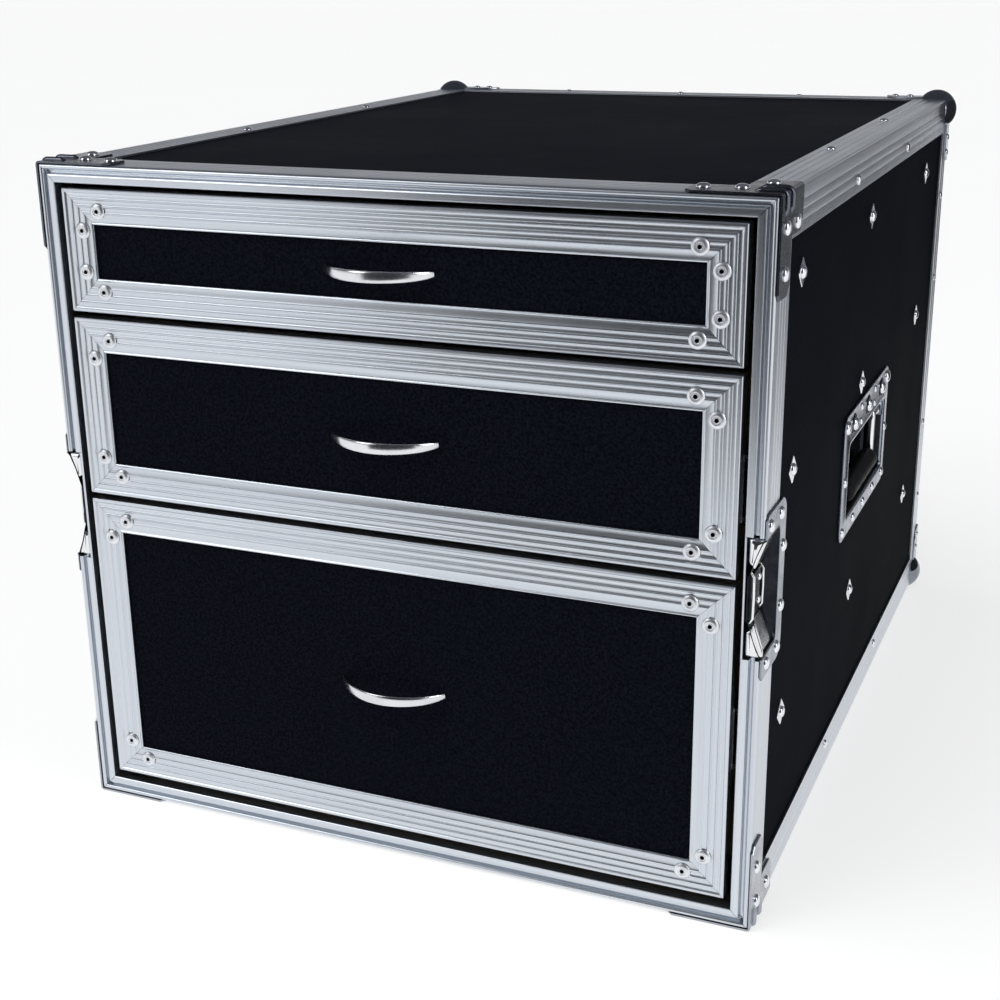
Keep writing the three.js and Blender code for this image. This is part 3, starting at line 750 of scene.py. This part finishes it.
def edge_extrusions():
    """Four long edges, and the mitred edges round the back."""
    for height, inward, side, sign in CORNERS:
        name = f"edge_{height}_{side}"
        low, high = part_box(name)
        corner = Vector((sign * HALF_WIDTH, low.y, LEVELS[height]))
        length = high.y - low.y
        bar = rail(long_edge_section(), corner, Y, -X * sign, -Z * inward, length, 0, (0, 0))
        Shape().add(bar).piece(f"long_{name}", "case", "aluminium", (BRUSHED[1],), [name], 28)
    low, high = Vector((-HALF_WIDTH, BACK, BASE)), Vector((HALF_WIDTH, BACK, TOP))
    shape = mitred_frame(rear_edge_section(), low, high, BACK, Y, REAR_GAP * MM)
    shape.piece("rear_edges", "case", "aluminium", (BRUSHED[0], BRUSHED[2]), ["rear_edge_frame"], 28)


# Corners

# A corner's own axes: inward from the side, in depth from its face, inward from the top or bottom


def corner_place(side_sign, face, depth_sign, level, level_sign):
    """The matrix that carries a corner's own axes to one of the case's corners."""
    axes = Matrix((-X * side_sign, Y * depth_sign, Z * level_sign)).transposed().to_4x4()
    return Matrix.Translation(Vector((side_sign * HALF_WIDTH, face, level))) @ axes


BALL_RADIUS = 18.5
BALL_INSET = 10.3
BALL_PLATE = 1.5
BALL_STEPS = 24
BALL_LEG = 46
BALL_STUB = 8
BALL_LEG_WIDTH = 15
BALL_TIP = 12
BALL_RIVETS = (36, 50)
BALL_RIVET_INSET = 8
BALL_RIVET_RADIUS = 3.2


def bent_plate(stations, thickness, order, rounding, bevel):
    """A plate bent over an edge, from the reach of its two arms at places along it.

    Order says which axis it runs along and which axes its arms run along.
    """
    over = LIFT + thickness
    rings = []
    for along, arm_a, arm_b in stations:
        ring = [(arm_a, -LIFT), (arm_a, bevel - over), (arm_a - bevel, -over)]
        ring += arc((rounding - over, rounding - over), rounding, 270, 180, 4)
        ring += [(-over, arm_b - bevel), (bevel - over, arm_b), (-LIFT, arm_b), (-LIFT, -LIFT)]
        spots = [(along, a, b) for a, b in ring]
        rings.append([Vector([p[order.index(k)] for k in range(3)]) * MM for p in spots])
    return loft(rings)


def ball_leg(length, order):
    """A leg of plate along one edge, narrowed at its end."""
    ends = ((6, 1.0), (length, 1.0), (length + BALL_TIP * 0.55, 0.82), (length + BALL_TIP, 0.45))
    stations = [(along, BALL_LEG_WIDTH * share, BALL_LEG_WIDTH * share) for along, share in ends]
    return bent_plate(stations, BALL_PLATE - LIFT, order, 2.2, 0.4)


def ball_corners():
    """A ball on each rear corner, with two riveted legs and a short stub of a third."""
    profile = []
    for i in range(1, BALL_STEPS):
        turn = math.pi * i / BALL_STEPS
        profile.append((BALL_RADIUS * math.sin(turn), -BALL_RADIUS * math.cos(turn)))
    centre = Matrix.Translation(Vector((1, 1, 1)) * BALL_INSET * MM)
    for height, inward, side, sign in CORNERS:
        place = corner_place(sign, BACK, -1, LEVELS[height], inward)
        shape = Shape().add(lathe(scaled(profile), 2 * BALL_STEPS), 0, place @ centre)
        for length, order in ((BALL_LEG, (0, 1, 2)), (BALL_LEG, (2, 1, 0)), (BALL_STUB, (1, 0, 2))):
            shape.add(ball_leg(length, order), 1, place)
        face, margin = -BALL_PLATE, BALL_RIVET_INSET
        for along in BALL_RIVETS:
            level_leg = (((along, face, margin), -Y), ((along, margin, face), -Z))
            upright_leg = (((margin, face, along), -Y), ((face, margin, along), -X))
            for point, normal in level_leg + upright_leg:
                placed_rivet(shape, place, point, normal, BALL_RIVET_RADIUS, 2)
        # The ball takes the darkened chrome, a painted dark reflection.
        looks, nodes = (DARKENED_BALL, LEG, POLISHED), [f"ball_corner_{height}_{side}"]
        shape.piece(f"ball_{height}_{side}", "case", "ball_steel", looks, nodes, 40)


BRACE_THICKNESS = 1.5
BRACE_ARM = 27
BRACE_LEVEL_ARM = 58
BRACE_DEPTH_ARM = 56
BRACE_DOWN_ARM = 62
BRACE_TIP = 6
BRACE_RIBS = (9.5, 24)
BRACE_RIB_REACHES = (13, 8)
BRACE_RIVET_RADIUS = 4.6
BRACE_LEVEL_RIVETS = ((50, 16), (27, 19), (14, 44))
BRACE_UPRIGHT_RIVETS = {
    "top": ((15, 20), (42, 20), (15, 47.5)),
    "bottom": ((15, 14), (42, 13), (12, 42)),
}


def brace_plate():
    """Full arms in front and the narrow arm behind, with every corner cut off."""
    wide_a, wide_b, narrow, tip = BRACE_LEVEL_ARM, BRACE_DOWN_ARM, BRACE_ARM, BRACE_TIP
    stations = [
        (0.1, wide_a - tip + 1.9, wide_b - tip + 1.9),
        (tip - 1.8, wide_a, wide_b),
        (narrow - tip, wide_a, wide_b),
        (narrow, wide_a - tip, wide_b - tip),
        (narrow + 0.4, narrow, narrow),
        (BRACE_DEPTH_ARM - tip, narrow, narrow),
        (BRACE_DEPTH_ARM, narrow - tip, narrow - tip),
    ]
    return bent_plate(stations, BRACE_THICKNESS, (1, 0, 2), 2.6, 0.45)


def pressed_rib(depth, level_reach, down_reach):
    """A rib pressed into the brace, running over the edge from one face to the other."""
    over = BRACE_THICKNESS + LIFT

    def run(reach):
        return [(5, -over - 0.15), (reach, -over - 0.1), (reach + 1, -over), (reach + 4, 0.9 - over)]

    path = run(level_reach)[::-1] + arc((3.2 - over, 3.2 - over), 3.3, 270, 180, 6)
    path += [(a, b) for b, a in run(down_reach)]
    radii = [1.1 * MM] + [1.9 * MM] * (len(path) - 2) + [1.1 * MM]
    return tube([Vector((a, depth, b)) * MM for a, b in path], radii, 12, Y)


def corner_braces():
    """A bent plate with pressed ribs and six rivets on each front corner."""
    face = -(BRACE_THICKNESS + LIFT)
    for height, inward, side, sign in CORNERS:
        place = corner_place(sign, FRONT, 1, LEVELS[height], inward)
        shape = Shape().add(brace_plate(), 0, place)
        for depth in BRACE_RIBS:
            shape.add(pressed_rib(depth, *BRACE_RIB_REACHES), 0, place)
        for a, b in BRACE_LEVEL_RIVETS:
            placed_rivet(shape, place, (a, b, face), -Z, BRACE_RIVET_RADIUS, 1)
        for a, b in BRACE_UPRIGHT_RIVETS[height]:
            placed_rivet(shape, place, (face, a, b), -X, BRACE_RIVET_RADIUS, 1)
        # The upper braces take the painted shade, the lower ones the painted light.
        looks, nodes = (SHADED_AND_LIT_BRACES[height], POLISHED), [f"corner_brace_{height}_{side}"]
        shape.piece(f"brace_{height}_{side}", "case", "zinc", looks, nodes, 32)


# Fasteners along the edges and through the sides

BOLT_DEPTHS = (76, 315, 577)
BOLT_HEAD = ((4.3, 0.9), (4.3, 1.3), (3.9, 2.1), (3.0, 2.8), (1.7, 3.25), (0.1, 3.4))
WASHER_HALF = 7.2
WASHER_ROUND = 1.1
WASHER_CREST_SHARE = 0.9375
EDGE_RIVET_DEPTHS = (243, 455)
EDGE_RIVET_INSET = 21
REAR_RIVET_INSET = 14
REAR_RIVET_RADIUS = 3.2
REAR_RIVET_HEIGHTS = (95, 173, 320, 400)
REAR_RIVET_WIDTHS = (-120, 0, 120)


def side_bolts():
    """Screws through the sides into the runners, each on a square washer turned on its point."""
    rings = []
    for size, rise in ((1, -0.1), (1, 0.6), (WASHER_CREST_SHARE, 1.0)):
        half = WASHER_HALF * size
        ring = rounded_rectangle((-half, -half), (half, half), WASHER_ROUND * size, 2)
        rings.append(at_level(ring, rise))
    turn = Matrix.Rotation(math.radians(45), 4, "Z")
    for side, sign in SIDES:
        shape = Shape()
        x = face_x(f"{side}_panel", sign)
        for drawer in DRAWERS:
            z = middle(f"{drawer}_runner_case_{side}").z
            for depth in BOLT_DEPTHS:
                place = facing(Vector((x, FRONT + depth * MM, z)), X * sign)
                shape.add(loft(rings), 0, place @ turn)
                shape.add(lathe(scaled(BOLT_HEAD), 20), 0, place)
        shape.piece(f"runner_bolts_{side}", "case", "zinc", (POLISHED,))


def edge_rivets():
    """Small rivets on both legs of the long edges and of the edges round the back."""
    for height, inward, side, sign in CORNERS:
        shape = Shape()
        for depth in EDGE_RIVET_DEPTHS:
            corner = Vector((sign * HALF_WIDTH, FRONT + depth * MM, LEVELS[height]))
            rivet_pair(shape, corner, X * sign, Z * -inward, EDGE_RIVET_INSET)
        shape.piece(f"edge_rivets_{height}_{side}", "case", "aluminium", (POLISHED,))
    shape = Shape()
    for side, sign in SIDES:
        for rise in REAR_RIVET_HEIGHTS:
            corner = Vector((sign * HALF_WIDTH, BACK, BASE + rise * MM))
            rivet_pair(shape, corner, Y, X * sign, REAR_RIVET_INSET, REAR_RIVET_RADIUS)
    for height, inward in HEIGHTS:
        for across in REAR_RIVET_WIDTHS:
            corner = Vector((across * MM, BACK, LEVELS[height]))
            rivet_pair(shape, corner, Y, Z * -inward, REAR_RIVET_INSET, REAR_RIVET_RADIUS)
    shape.piece("rear_edge_rivets", "case", "aluminium", (POLISHED,))


# Catches

# A catch's own axes: outward from the side, back from the front, and up from its middle

CATCH_PLATE = 1.2
CATCH_DEPTH = 52
CATCH_HALF = 56
CATCH_FRONT = 0.6
CATCH_REACH = 37.4
CATCH_MOUTH = 40.4
CATCH_FLOOR_REACH = 34
CATCH_FLOOR = 14
CATCH_PAN = 10
CATCH_ROUND = 12
MOUTH_ROUND = 7
CATCH_RIVETS = ((10, 47), (37, 47), (46, 22), (46, -20), (40, -47), (12, -47))
CATCH_RIVET_RADIUS = 4.4
CATCH_RODS = ((3.2, 17), (27, 15))
ROD_RADIUS = 0.9
ROD_FOOT = -8.4
ROD_BEND = -6.4
ROD_CREST = -6.2
KEEPER = ((2, -15), (27, -15), (29, -13), (29, 13), (27, 15), (2, 15))
KEEPER_BACK = -8.9
KEEPER_FACE = -7.4
KEEPER_RIVETS = ((22, 8), (22, -8))
KEEPER_RIVET_RADIUS = 2.6


def inset(points, distance):
    """The outline moved inward by a distance, for a closed outline that runs anticlockwise."""
    result = []
    count = len(points)
    for i, point in enumerate(points):
        here = Vector(point)
        before = (here - Vector(points[i - 1])).normalized()
        after = (Vector(points[(i + 1) % count]) - here).normalized()
        first, second = Vector((-before.y, before.x)), Vector((-after.y, after.x))
        between = (first + second).normalized()
        result.append(here + between * distance / max(between.dot(first), 0.3))
    return result


def plate(outline, low, high, bevel):
    """A flat plate with a bevelled upper edge, drawn in a plane and raised along its third axis."""
    edge = inset(outline, bevel)
    return loft([at_level(outline, low), at_level(outline, high - bevel), at_level(edge, high)])


def open_path(reach, half, rounding, steps=7):
    """The wall of the dish seen from outside, from its lower front end round to its upper front end."""
    path = [(CATCH_FRONT, -half)]
    path += arc((reach - rounding, rounding - half), rounding, 270, 360, steps)
    path += arc((reach - rounding, half - rounding), rounding, 0, 90, steps)
    return path + [(CATCH_FRONT, half)]


def catch_outline():
    """The flange round the dish, open at the front, in (back, up)."""
    outline = open_path(CATCH_DEPTH, CATCH_HALF, CATCH_ROUND, 6)[1:-1]
    outline += [(CATCH_FRONT + 3, CATCH_HALF), (CATCH_FRONT, CATCH_HALF - 3)]
    outline += open_path(CATCH_REACH, CATCH_MOUTH, MOUTH_ROUND, 5)[::-1]
    return outline + [(CATCH_FRONT, 3 - CATCH_HALF), (CATCH_FRONT + 3, -CATCH_HALF)]


def catch_pan():
    """The pressed dish: its two long ramps run down to a short floor."""
    levels = [(1.2, 0, 0), (0.4, 0.1, 0.3), (-0.8, 0.7, 1.6)]
    levels += [(-4.5, 1.5, 10.5), (-8.0, 2.6, 22.0), (-9.4, 3.2, 25.8)]
    rings = []
    for x, shorter, lower in levels:
        outer = open_path(CATCH_REACH - shorter, CATCH_MOUTH - lower, MOUTH_ROUND)
        inner = open_path(CATCH_REACH - shorter - 0.9, CATCH_MOUTH - lower - 0.9, 6.4)
        rings.append([Vector((x, a, b)) * MM for a, b in outer + inner[::-1]])
    return loft(rings)


def catch_lobe(direction):
    """The closed front end of a ramp: a polished boss with a rounded nose."""
    corners = [(1.2, CATCH_MOUTH), (-10.4, CATCH_MOUTH), (-10.4, 23), (-6, 19.5)]
    nose = ((0.7, 3.4), (0.9, 2.2), (1.5, 1.2), (2.6, 0.4), (4.4, 0))
    rings = []
    for depth, shrink in nose + ((8, 0), (10.4, 0.6), (11.6, 2)):
        outline = inset(corners, shrink)
        ring = []
        for i, corner in enumerate(outline):
            before, after = outline[i - 1], outline[(i + 1) % len(outline)]
            for near, share in ((before, 0.16), (before, 0.05), (after, 0.05), (after, 0.16)):
                spot = corner.lerp(near, share)
                ring.append(Vector((spot.x, depth, spot.y * direction)) * MM)
        rings.append(ring)
    return loft(rings)


RAMP_TOP = (-0.4, 37.6)
RAMP_FOOT = (-7.6, 17.2)
RAMP_BULGE = 1.2
RAMP_STEPS = 8


def catch_ramp(direction):
    """The polished face of a ramp, bulging a little towards the opening."""
    rings = []
    for depth, margin in ((10.6, 0.06), (11.4, 0), (26.4, 0), (28.4, 0.08)):
        face = []
        for i in range(RAMP_STEPS + 1):
            share = margin + (1 - 2 * margin) * i / RAMP_STEPS
            x, level = Vector(RAMP_TOP).lerp(Vector(RAMP_FOOT), share)
            face.append((x, level - RAMP_BULGE * math.sin(math.pi * share)))
        back = [(x - 0.4, level + 0.8) for x, level in reversed(face)]
        rings.append([Vector((x, depth, level * direction)) * MM for x, level in face + back])
    return loft(rings)


def catches():
    """Flange, dish, ramps with their noses, keeper, rods and rivets of both catches."""
    for side, sign in SIDES:
        place = side_place(sign, FRONT, middle(f"catch_dish_{side}").z)
        flat = place @ Matrix(((0, 0, 1, 0), (1, 0, 0, 0), (0, 1, 0, 0), (0, 0, 0, 1)))
        shape = Shape().add(plate(catch_outline(), LIFT, LIFT + CATCH_PLATE, 0.4), 0, flat)
        # The pan, its floor and the keeper take material 2, painted shade inside the catch.
        shape.add(catch_pan(), 2, place)
        for direction in (1, -1):
            shape.add(catch_lobe(direction), 1, place)
            shape.add(catch_ramp(direction), 3, place)
        floor_outline = open_path(CATCH_FLOOR_REACH, CATCH_FLOOR + 1.5, 5)
        shape.add(plate(floor_outline, -CATCH_PAN, 1 - CATCH_PAN, 0.2), 2, flat)
        shape.add(plate(KEEPER, KEEPER_BACK, KEEPER_FACE, 0.3), 2, flat)
        for depth, half in CATCH_RODS:
            bends = [(ROD_FOOT, -half), (ROD_BEND, 3 - half), (ROD_CREST, 0)]
            bends += [(ROD_BEND, half - 3), (ROD_FOOT, half)]
            rod = [Vector((x, depth, rise)) * MM for x, rise in bends]
            shape.add(tube(rod, ROD_RADIUS * MM, 12, Y), 1, place)
        for depth, rise in CATCH_RIVETS:
            point = (LIFT + CATCH_PLATE, depth, rise)
            placed_rivet(shape, place, point, X, CATCH_RIVET_RADIUS, 3)
        for depth, rise in KEEPER_RIVETS:
            placed_rivet(shape, place, (KEEPER_FACE, depth, rise), X, KEEPER_RIVET_RADIUS, 3)
        looks = (ZINC, CHROME, SHADED_DISH, POLISHED)
        shape.piece(f"catch_{side}", "case", "zinc", looks, [f"catch_dish_{side}"], 38)


# Handles

# A handle's own axes: outward from the side, back from its middle, and up from its middle

HANDLE_PLATE = (92, 51)
HANDLE_PAN = (75, 30)
HANDLE_PAN_DROP = 5
HANDLE_PAN_DEPTH = 17
BAIL_RADIUS = 3
BAIL_HALF = 60
BAIL_DROP = 38
BAIL_BEND = 7
GRIP_STEPS = 12
GRIP_HOLLOW = 0.45
PIVOT_DEPTH = 6.5
PIVOT_RISE = 17
PIVOT_EAR = ((-17, -6), (0, -6), (0, 4), (-4, 7), (-17, 7))
EAR_FACES = (73.9, 71.9)
SPRING_START = 64.5
SPRING_RADIUS = 4.3
SPRING_WIRE = 0.65
SPRING_PITCH = 1.35
SPRING_TURNS = 5
SPRING_STEPS = 14
BOSS_DEPTHS = (-58, 0, 58)
BOSS_RISE = 39
BOSS_COLLAR = ((8.2, -0.2), (8.2, 0.25), (7.0, 0.7), (6.6, 0.1))
BOSS_HEAD = ((5.6, -0.2), (5.6, 0.6), (5.2, 1.8), (4.0, 2.9), (2.2, 3.5), (0.1, 3.7))
HANDLE_RIVETS = (
    (3, ((-29, 45), (-29, 33), (29, 45), (29, 33))),
    (5.4, ((-84, 42), (84, 42))),
    (4, ((-84, -2), (84, -2), (-84, -43), (84, -43), (-42, -43.5), (0, -43.5), (42, -43.5))),
)


def handle_dish(place):
    """The flange, a rolled lip round the opening, and the pan, as one sheet with its back closed."""
    wide, pan, depth = (*HANDLE_PLATE, 0), (*HANDLE_PAN, HANDLE_PAN_DROP), -HANDLE_PAN_DEPTH
    course = [(wide, 0, 9, -1.4), (wide, 0, 9, -0.5), (wide, -0.5, 8.5, 0), (pan, 5, 8, 0)]
    course += [(pan, 3.6, 7, 0.7), (pan, 2, 6.4, 0.8), (pan, 0.6, 5.4, 0.1), (pan, 0, 5, -1.2)]
    course += [(pan, -0.3, 5, depth + 2), (pan, -2.2, 4, depth), (pan, -2.2, 4, depth - 1.1)]
    course += [(pan, 1.1, 5.5, depth - 1.1), (pan, 1.1, 5.5, -1.5)]
    rings = []
    for (half, tall, drop), grow, rounding, x in course:
        low, high = (-half - grow, -tall - grow - drop), (half + grow, tall + grow - drop)
        ring = rounded_rectangle(low, high, rounding, 7)
        rings.append([Vector((x, a, b)) * MM for a, b in ring])
    points, faces = loft(rings, closed=True)
    count = len(rings[0])
    # The pan's deep walls and floor take material 1, painted shade in the recess of the one sheet.
    inner = set(range(7 * count, 10 * count))
    floor_ring = range(9 * count, 10 * count)
    dark = [f for f in faces if inner.issuperset(f)]
    dark += [list(floor_ring), [i + count for i in floor_ring]]
    shape = Shape().add((points, [f for f in faces if not inner.issuperset(f)]), 0, place)
    shape.faces += dark
    shape.looks += [1] * len(dark)
    return shape


def spring(start, axis):
    """A torsion spring wound about an axis."""
    across = axis.cross(Z).normalized()
    over = across.cross(axis)
    path = []
    for i in range(SPRING_TURNS * SPRING_STEPS + 1):
        turn = i / SPRING_STEPS
        angle = 2 * math.pi * turn
        outward = across * math.cos(angle) + over * math.sin(angle)
        path.append(start + (axis * SPRING_PITCH * turn + outward * SPRING_RADIUS) * MM)
    return tube(path, SPRING_WIRE * MM, 8, axis)


def handles():
    """Dishes with their riveted bosses, pivot ears and springs, and the bails in them."""
    for side, sign in SIDES:
        centre = middle(f"handle_dish_{side}")
        place = side_place(sign, centre.y, centre.z)
        shape = handle_dish(place)
        for depth in BOSS_DEPTHS:
            where = facing(place @ (Vector((0, depth, BOSS_RISE)) * MM), X * sign)
            # The collar takes material 1, a painted shade ring round the boss head.
            shape.add(lathe(scaled(BOSS_COLLAR), 24), 1, where)
            shape.add(lathe(scaled(BOSS_HEAD), 24), 2, where)
        for radius, spots in HANDLE_RIVETS:
            for depth, rise in spots:
                placed_rivet(shape, place, (0, depth, rise), X, radius, 2)
        pivot = Vector((-PIVOT_DEPTH, 0, PIVOT_RISE)) * MM
        for end in (-1, 1):
            faces = []
            for y in EAR_FACES:
                faces.append([Vector((a, end * y, b + PIVOT_RISE)) * MM for a, b in PIVOT_EAR])
            shape.add(loft(faces), 0, place)
            shape.add(spring(pivot + Y * end * SPRING_START * MM, Y * end), 3, place)
        nodes = [f"handle_dish_{side}"]
        shape.piece(f"handle_plate_{side}", "case", "zinc", (ZINC, SHADED_DISH, POLISHED, STEEL), nodes, 38)
        handle_bail(side, place)


def handle_bail(side, place):
    """The sprung rod, bent to a U, and the grip moulded on its middle."""
    bend = BAIL_BEND
    path = [(BAIL_HALF + 2 * bend, 0), (BAIL_HALF + bend, 0)]
    path += arc((BAIL_HALF + bend, -bend), bend, 90, 180, 7)
    path += arc((BAIL_HALF - bend, bend - BAIL_DROP), bend, 0, -90, 7)
    path += [(-a, b) for a, b in reversed(path)]
    drop = Vector((-PIVOT_DEPTH, 0, PIVOT_RISE))
    points = [(Vector((0, a, b)) + drop) * MM for a, b in path]
    shape = Shape().add(tube(points, BAIL_RADIUS * MM, 16, X), 0, place)
    body = f"{side}_handle"
    shape.piece(f"handle_rod_{side}", body, "zinc", (CHROME,), [f"handle_bail_{side}"], 50)
    low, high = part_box(f"handle_grip_{side}")
    half = (high.y - low.y) / 2 / MM
    radius = (high.z - low.z) / 2 / MM
    profile = [(3.3, -half), (radius - 2.2, -half)]
    profile += [(radius - 0.8, 1.0 - half), (radius - 0.1, 3.5 - half)]
    for i in range(GRIP_STEPS + 1):
        along = 2 * i / GRIP_STEPS - 1
        hollow = GRIP_HOLLOW * (1 - abs(math.cos(along * math.pi * 2)))
        profile.append((radius - hollow, along * (half - 8)))
    profile += [(r, -h) for r, h in reversed(profile[:4])]
    where = facing(middle(f"handle_grip_{side}"), Y, X)
    shape = Shape().add(lathe(scaled(profile), 32), 0, where)
    shape.piece(f"handle_sleeve_{side}", body, "grip_rubber", (GRIP,), [f"handle_grip_{side}"], 50)


# Camera, light and floor

CAMERA_PLACE = (0.4708, -1.2433, 0.6302)
CAMERA_TURN = -23.107
CAMERA_PITCH = -18.943
CAMERA_ROLL = -0.743
CAMERA_LENS = 56.95
CAMERA_SENSOR = 36


def camera():
    """The photo's own view: turned to the left, tipped down and rolled by less than a degree."""
    data = bpy.data.cameras.new("photo_view")
    data.lens = CAMERA_LENS
    data.sensor_width = CAMERA_SENSOR
    data.clip_start = 0.01
    turn, pitch, roll = (math.radians(a) for a in (CAMERA_TURN, CAMERA_PITCH, CAMERA_ROLL))
    aim = Matrix.Rotation(-turn, 4, "Z") @ Matrix.Rotation(math.pi / 2 + pitch, 4, "X")
    result = put("photo_view", data)
    result.matrix_world = Matrix.Translation(CAMERA_PLACE) @ aim @ Matrix.Rotation(roll, 4, "Z")
    bpy.context.scene.camera = result


FLOOR_GLOW = 0.7
FLOOR_REACH = 30
FLOOR_WHITE = (0.94, 0.94, 0.95)


def floor_look():
    """A pale matt sheet whose white shows through its shadows to the camera and in the metal."""
    look = Look("pale_floor", FLOOR_WHITE, 0, 0.9)
    look.tint(look.noise(1.3, 2), FLOOR_WHITE, (0.92, 0.92, 0.93))
    look.set("Specular IOR Level", 0.1)
    tree = look.tree
    rays = new_node(tree, "LightPath", {}).outputs
    seen = look.sum(rays["Is Camera Ray"], rays["Is Glossy Ray"])
    share = look.math("MULTIPLY", look.sum(seen, rays["Is Transmission Ray"]), FLOOR_GLOW)
    share.node.use_clamp = True
    white = new_node(tree, "Emission", {})
    mixed = new_node(tree, "MixShader", {0: share, 1: look.shader.outputs[0], 2: white.outputs[0]})
    tree.links.new(mixed.outputs[0], tree.nodes["Material Output"].inputs["Surface"])
    return look.result


def sheet(name, corners, look):
    """One flat face between four corners."""
    mesh = bpy.data.meshes.new(name)
    mesh.from_pydata(corners, [], [[0, 1, 2, 3]])
    mesh.materials.append(look)
    return put(name, mesh)


def floor():
    """A plain pale sheet, touching the rear balls and the front braces."""
    back_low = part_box("ball_corner_bottom_right")
    front_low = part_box("corner_brace_bottom_right")
    ball_y = back_low[1].y - BALL_RADIUS * MM
    slope = (back_low[0].z - front_low[0].z) / (ball_y - front_low[0].y)
    corners = []
    for across, along in ((-1, -1), (1, -1), (1, 1), (-1, 1)):
        x, y = across * FLOOR_REACH, along * FLOOR_REACH
        corners.append((x, y, back_low[0].z + slope * (y - ball_y)))
    result = sheet("floor", corners, floor_look())


def lamp(name, place, target, width, height, power):
    """A rectangular softbox turned towards a target."""
    data = bpy.data.lights.new(name, "AREA")
    data.shape = "RECTANGLE"
    data.size = width
    data.size_y = height
    data.energy = power
    result = put(name, data)
    result.location = place
    result.rotation_euler = (Vector(target) - Vector(place)).to_track_quat("-Z", "Y").to_euler()


def flag(name, centre, across, height, shade):
    """A dull card out of the picture, there only to be mirrored in the metal as a darker patch."""
    half = Vector(across) / 2
    low, high = Vector(centre) - Z * height / 2, Vector(centre) + Z * height / 2
    look = Look(name, shade, 0, 0.9)
    look.tint(look.noise(2, 2), shade, [c * 0.7 for c in shade])
    result = sheet(name, [low - half, low + half, high + half, high - half], look.result)
    result.visible_camera = False
    result.visible_diffuse = False
    result.visible_shadow = False


ROOM_TONES = ((0.50, (0.95, 0.95, 0.96, 1)), (0.66, (0.10, 0.105, 0.12, 1)))


def world():
    """A plain room: pale at floor level, darker overhead."""
    room = bpy.data.worlds.new("studio")
    bpy.context.scene.world = room
    room.use_nodes = True
    tree = room.node_tree
    place = new_node(tree, "TexCoord", {}).outputs["Generated"]
    height = new_node(tree, "SeparateXYZ", {"Vector": place}).outputs["Z"]
    share = new_node(tree, "MapRange", {"From Min": -1, "Value": height}).outputs["Result"]
    ramp = new_node(tree, "ValToRGB", {"Fac": share})
    for stop, (position, color) in zip(ramp.color_ramp.elements, ROOM_TONES):
        stop.position = position
        stop.color = color
    tree.links.new(ramp.outputs["Color"], tree.nodes["Background"].inputs["Color"])


SKY_POWER = 3.0
SKY_SPREAD = 70
SKY_COURSE = (0.45, 0.55, -1)
SOFTBOXES = (
    ("key_softbox", (-1.9, -2.4, 2.2), (0, 0, 0.3), 1.4, 1.8, 22),
    ("side_softbox", (2.1, -0.9, 1.5), (0.26, 0, 0.3), 0.8, 1.5, 15),
)
FLAGS = (
    ("front_flag", (0.30, -1.3, 0.6), (1.6, 0, 0), 1.3, (0.055, 0.058, 0.066)),
    ("side_flag", (0.56, 1.10, 0.35), (0, 1.8, 0), 0.66, (0.06, 0.063, 0.07)),
)


def lights():
    """A broad even light from above that metal doesn't mirror, two softboxes and two dark cards."""
    sun = bpy.data.lights.new("overcast", "SUN")
    sun.energy = SKY_POWER
    sun.angle = math.radians(SKY_SPREAD)
    result = put("overcast", sun)
    result.rotation_euler = Vector(SKY_COURSE).to_track_quat("-Z", "Y").to_euler()
    result.visible_glossy = False
    for softbox in SOFTBOXES:
        lamp(*softbox)
    for card in FLAGS:
        flag(*card)


# The whole scene

camera()
world()
lights()
floor()

for panel in ("top_panel", "bottom_panel", "back_panel", "right_panel", "left_panel"):
    dress(panel, SIDE_LAMINATE)
for drawer in DRAWERS:
    dress(f"{drawer}_drawer_front", FRONT_LAMINATE)
    drawer_box(drawer)
    box_screws(drawer)
    runner_screws(drawer)
    runner_slots(drawer)
    for side, _ in SIDES:
        for member in ("case", "middle", "drawer"):
            dress(f"{drawer}_runner_{member}_{side}", RUNNER)
    drawer_frame(drawer)
    drawer_rivets(drawer)
    drawer_pull(drawer)
front_rim()
edge_extrusions()
ball_corners()
corner_braces()
side_bolts()
edge_rivets()
catches()
handles()

scene = bpy.context.scene
scene.view_settings.view_transform = "Standard"
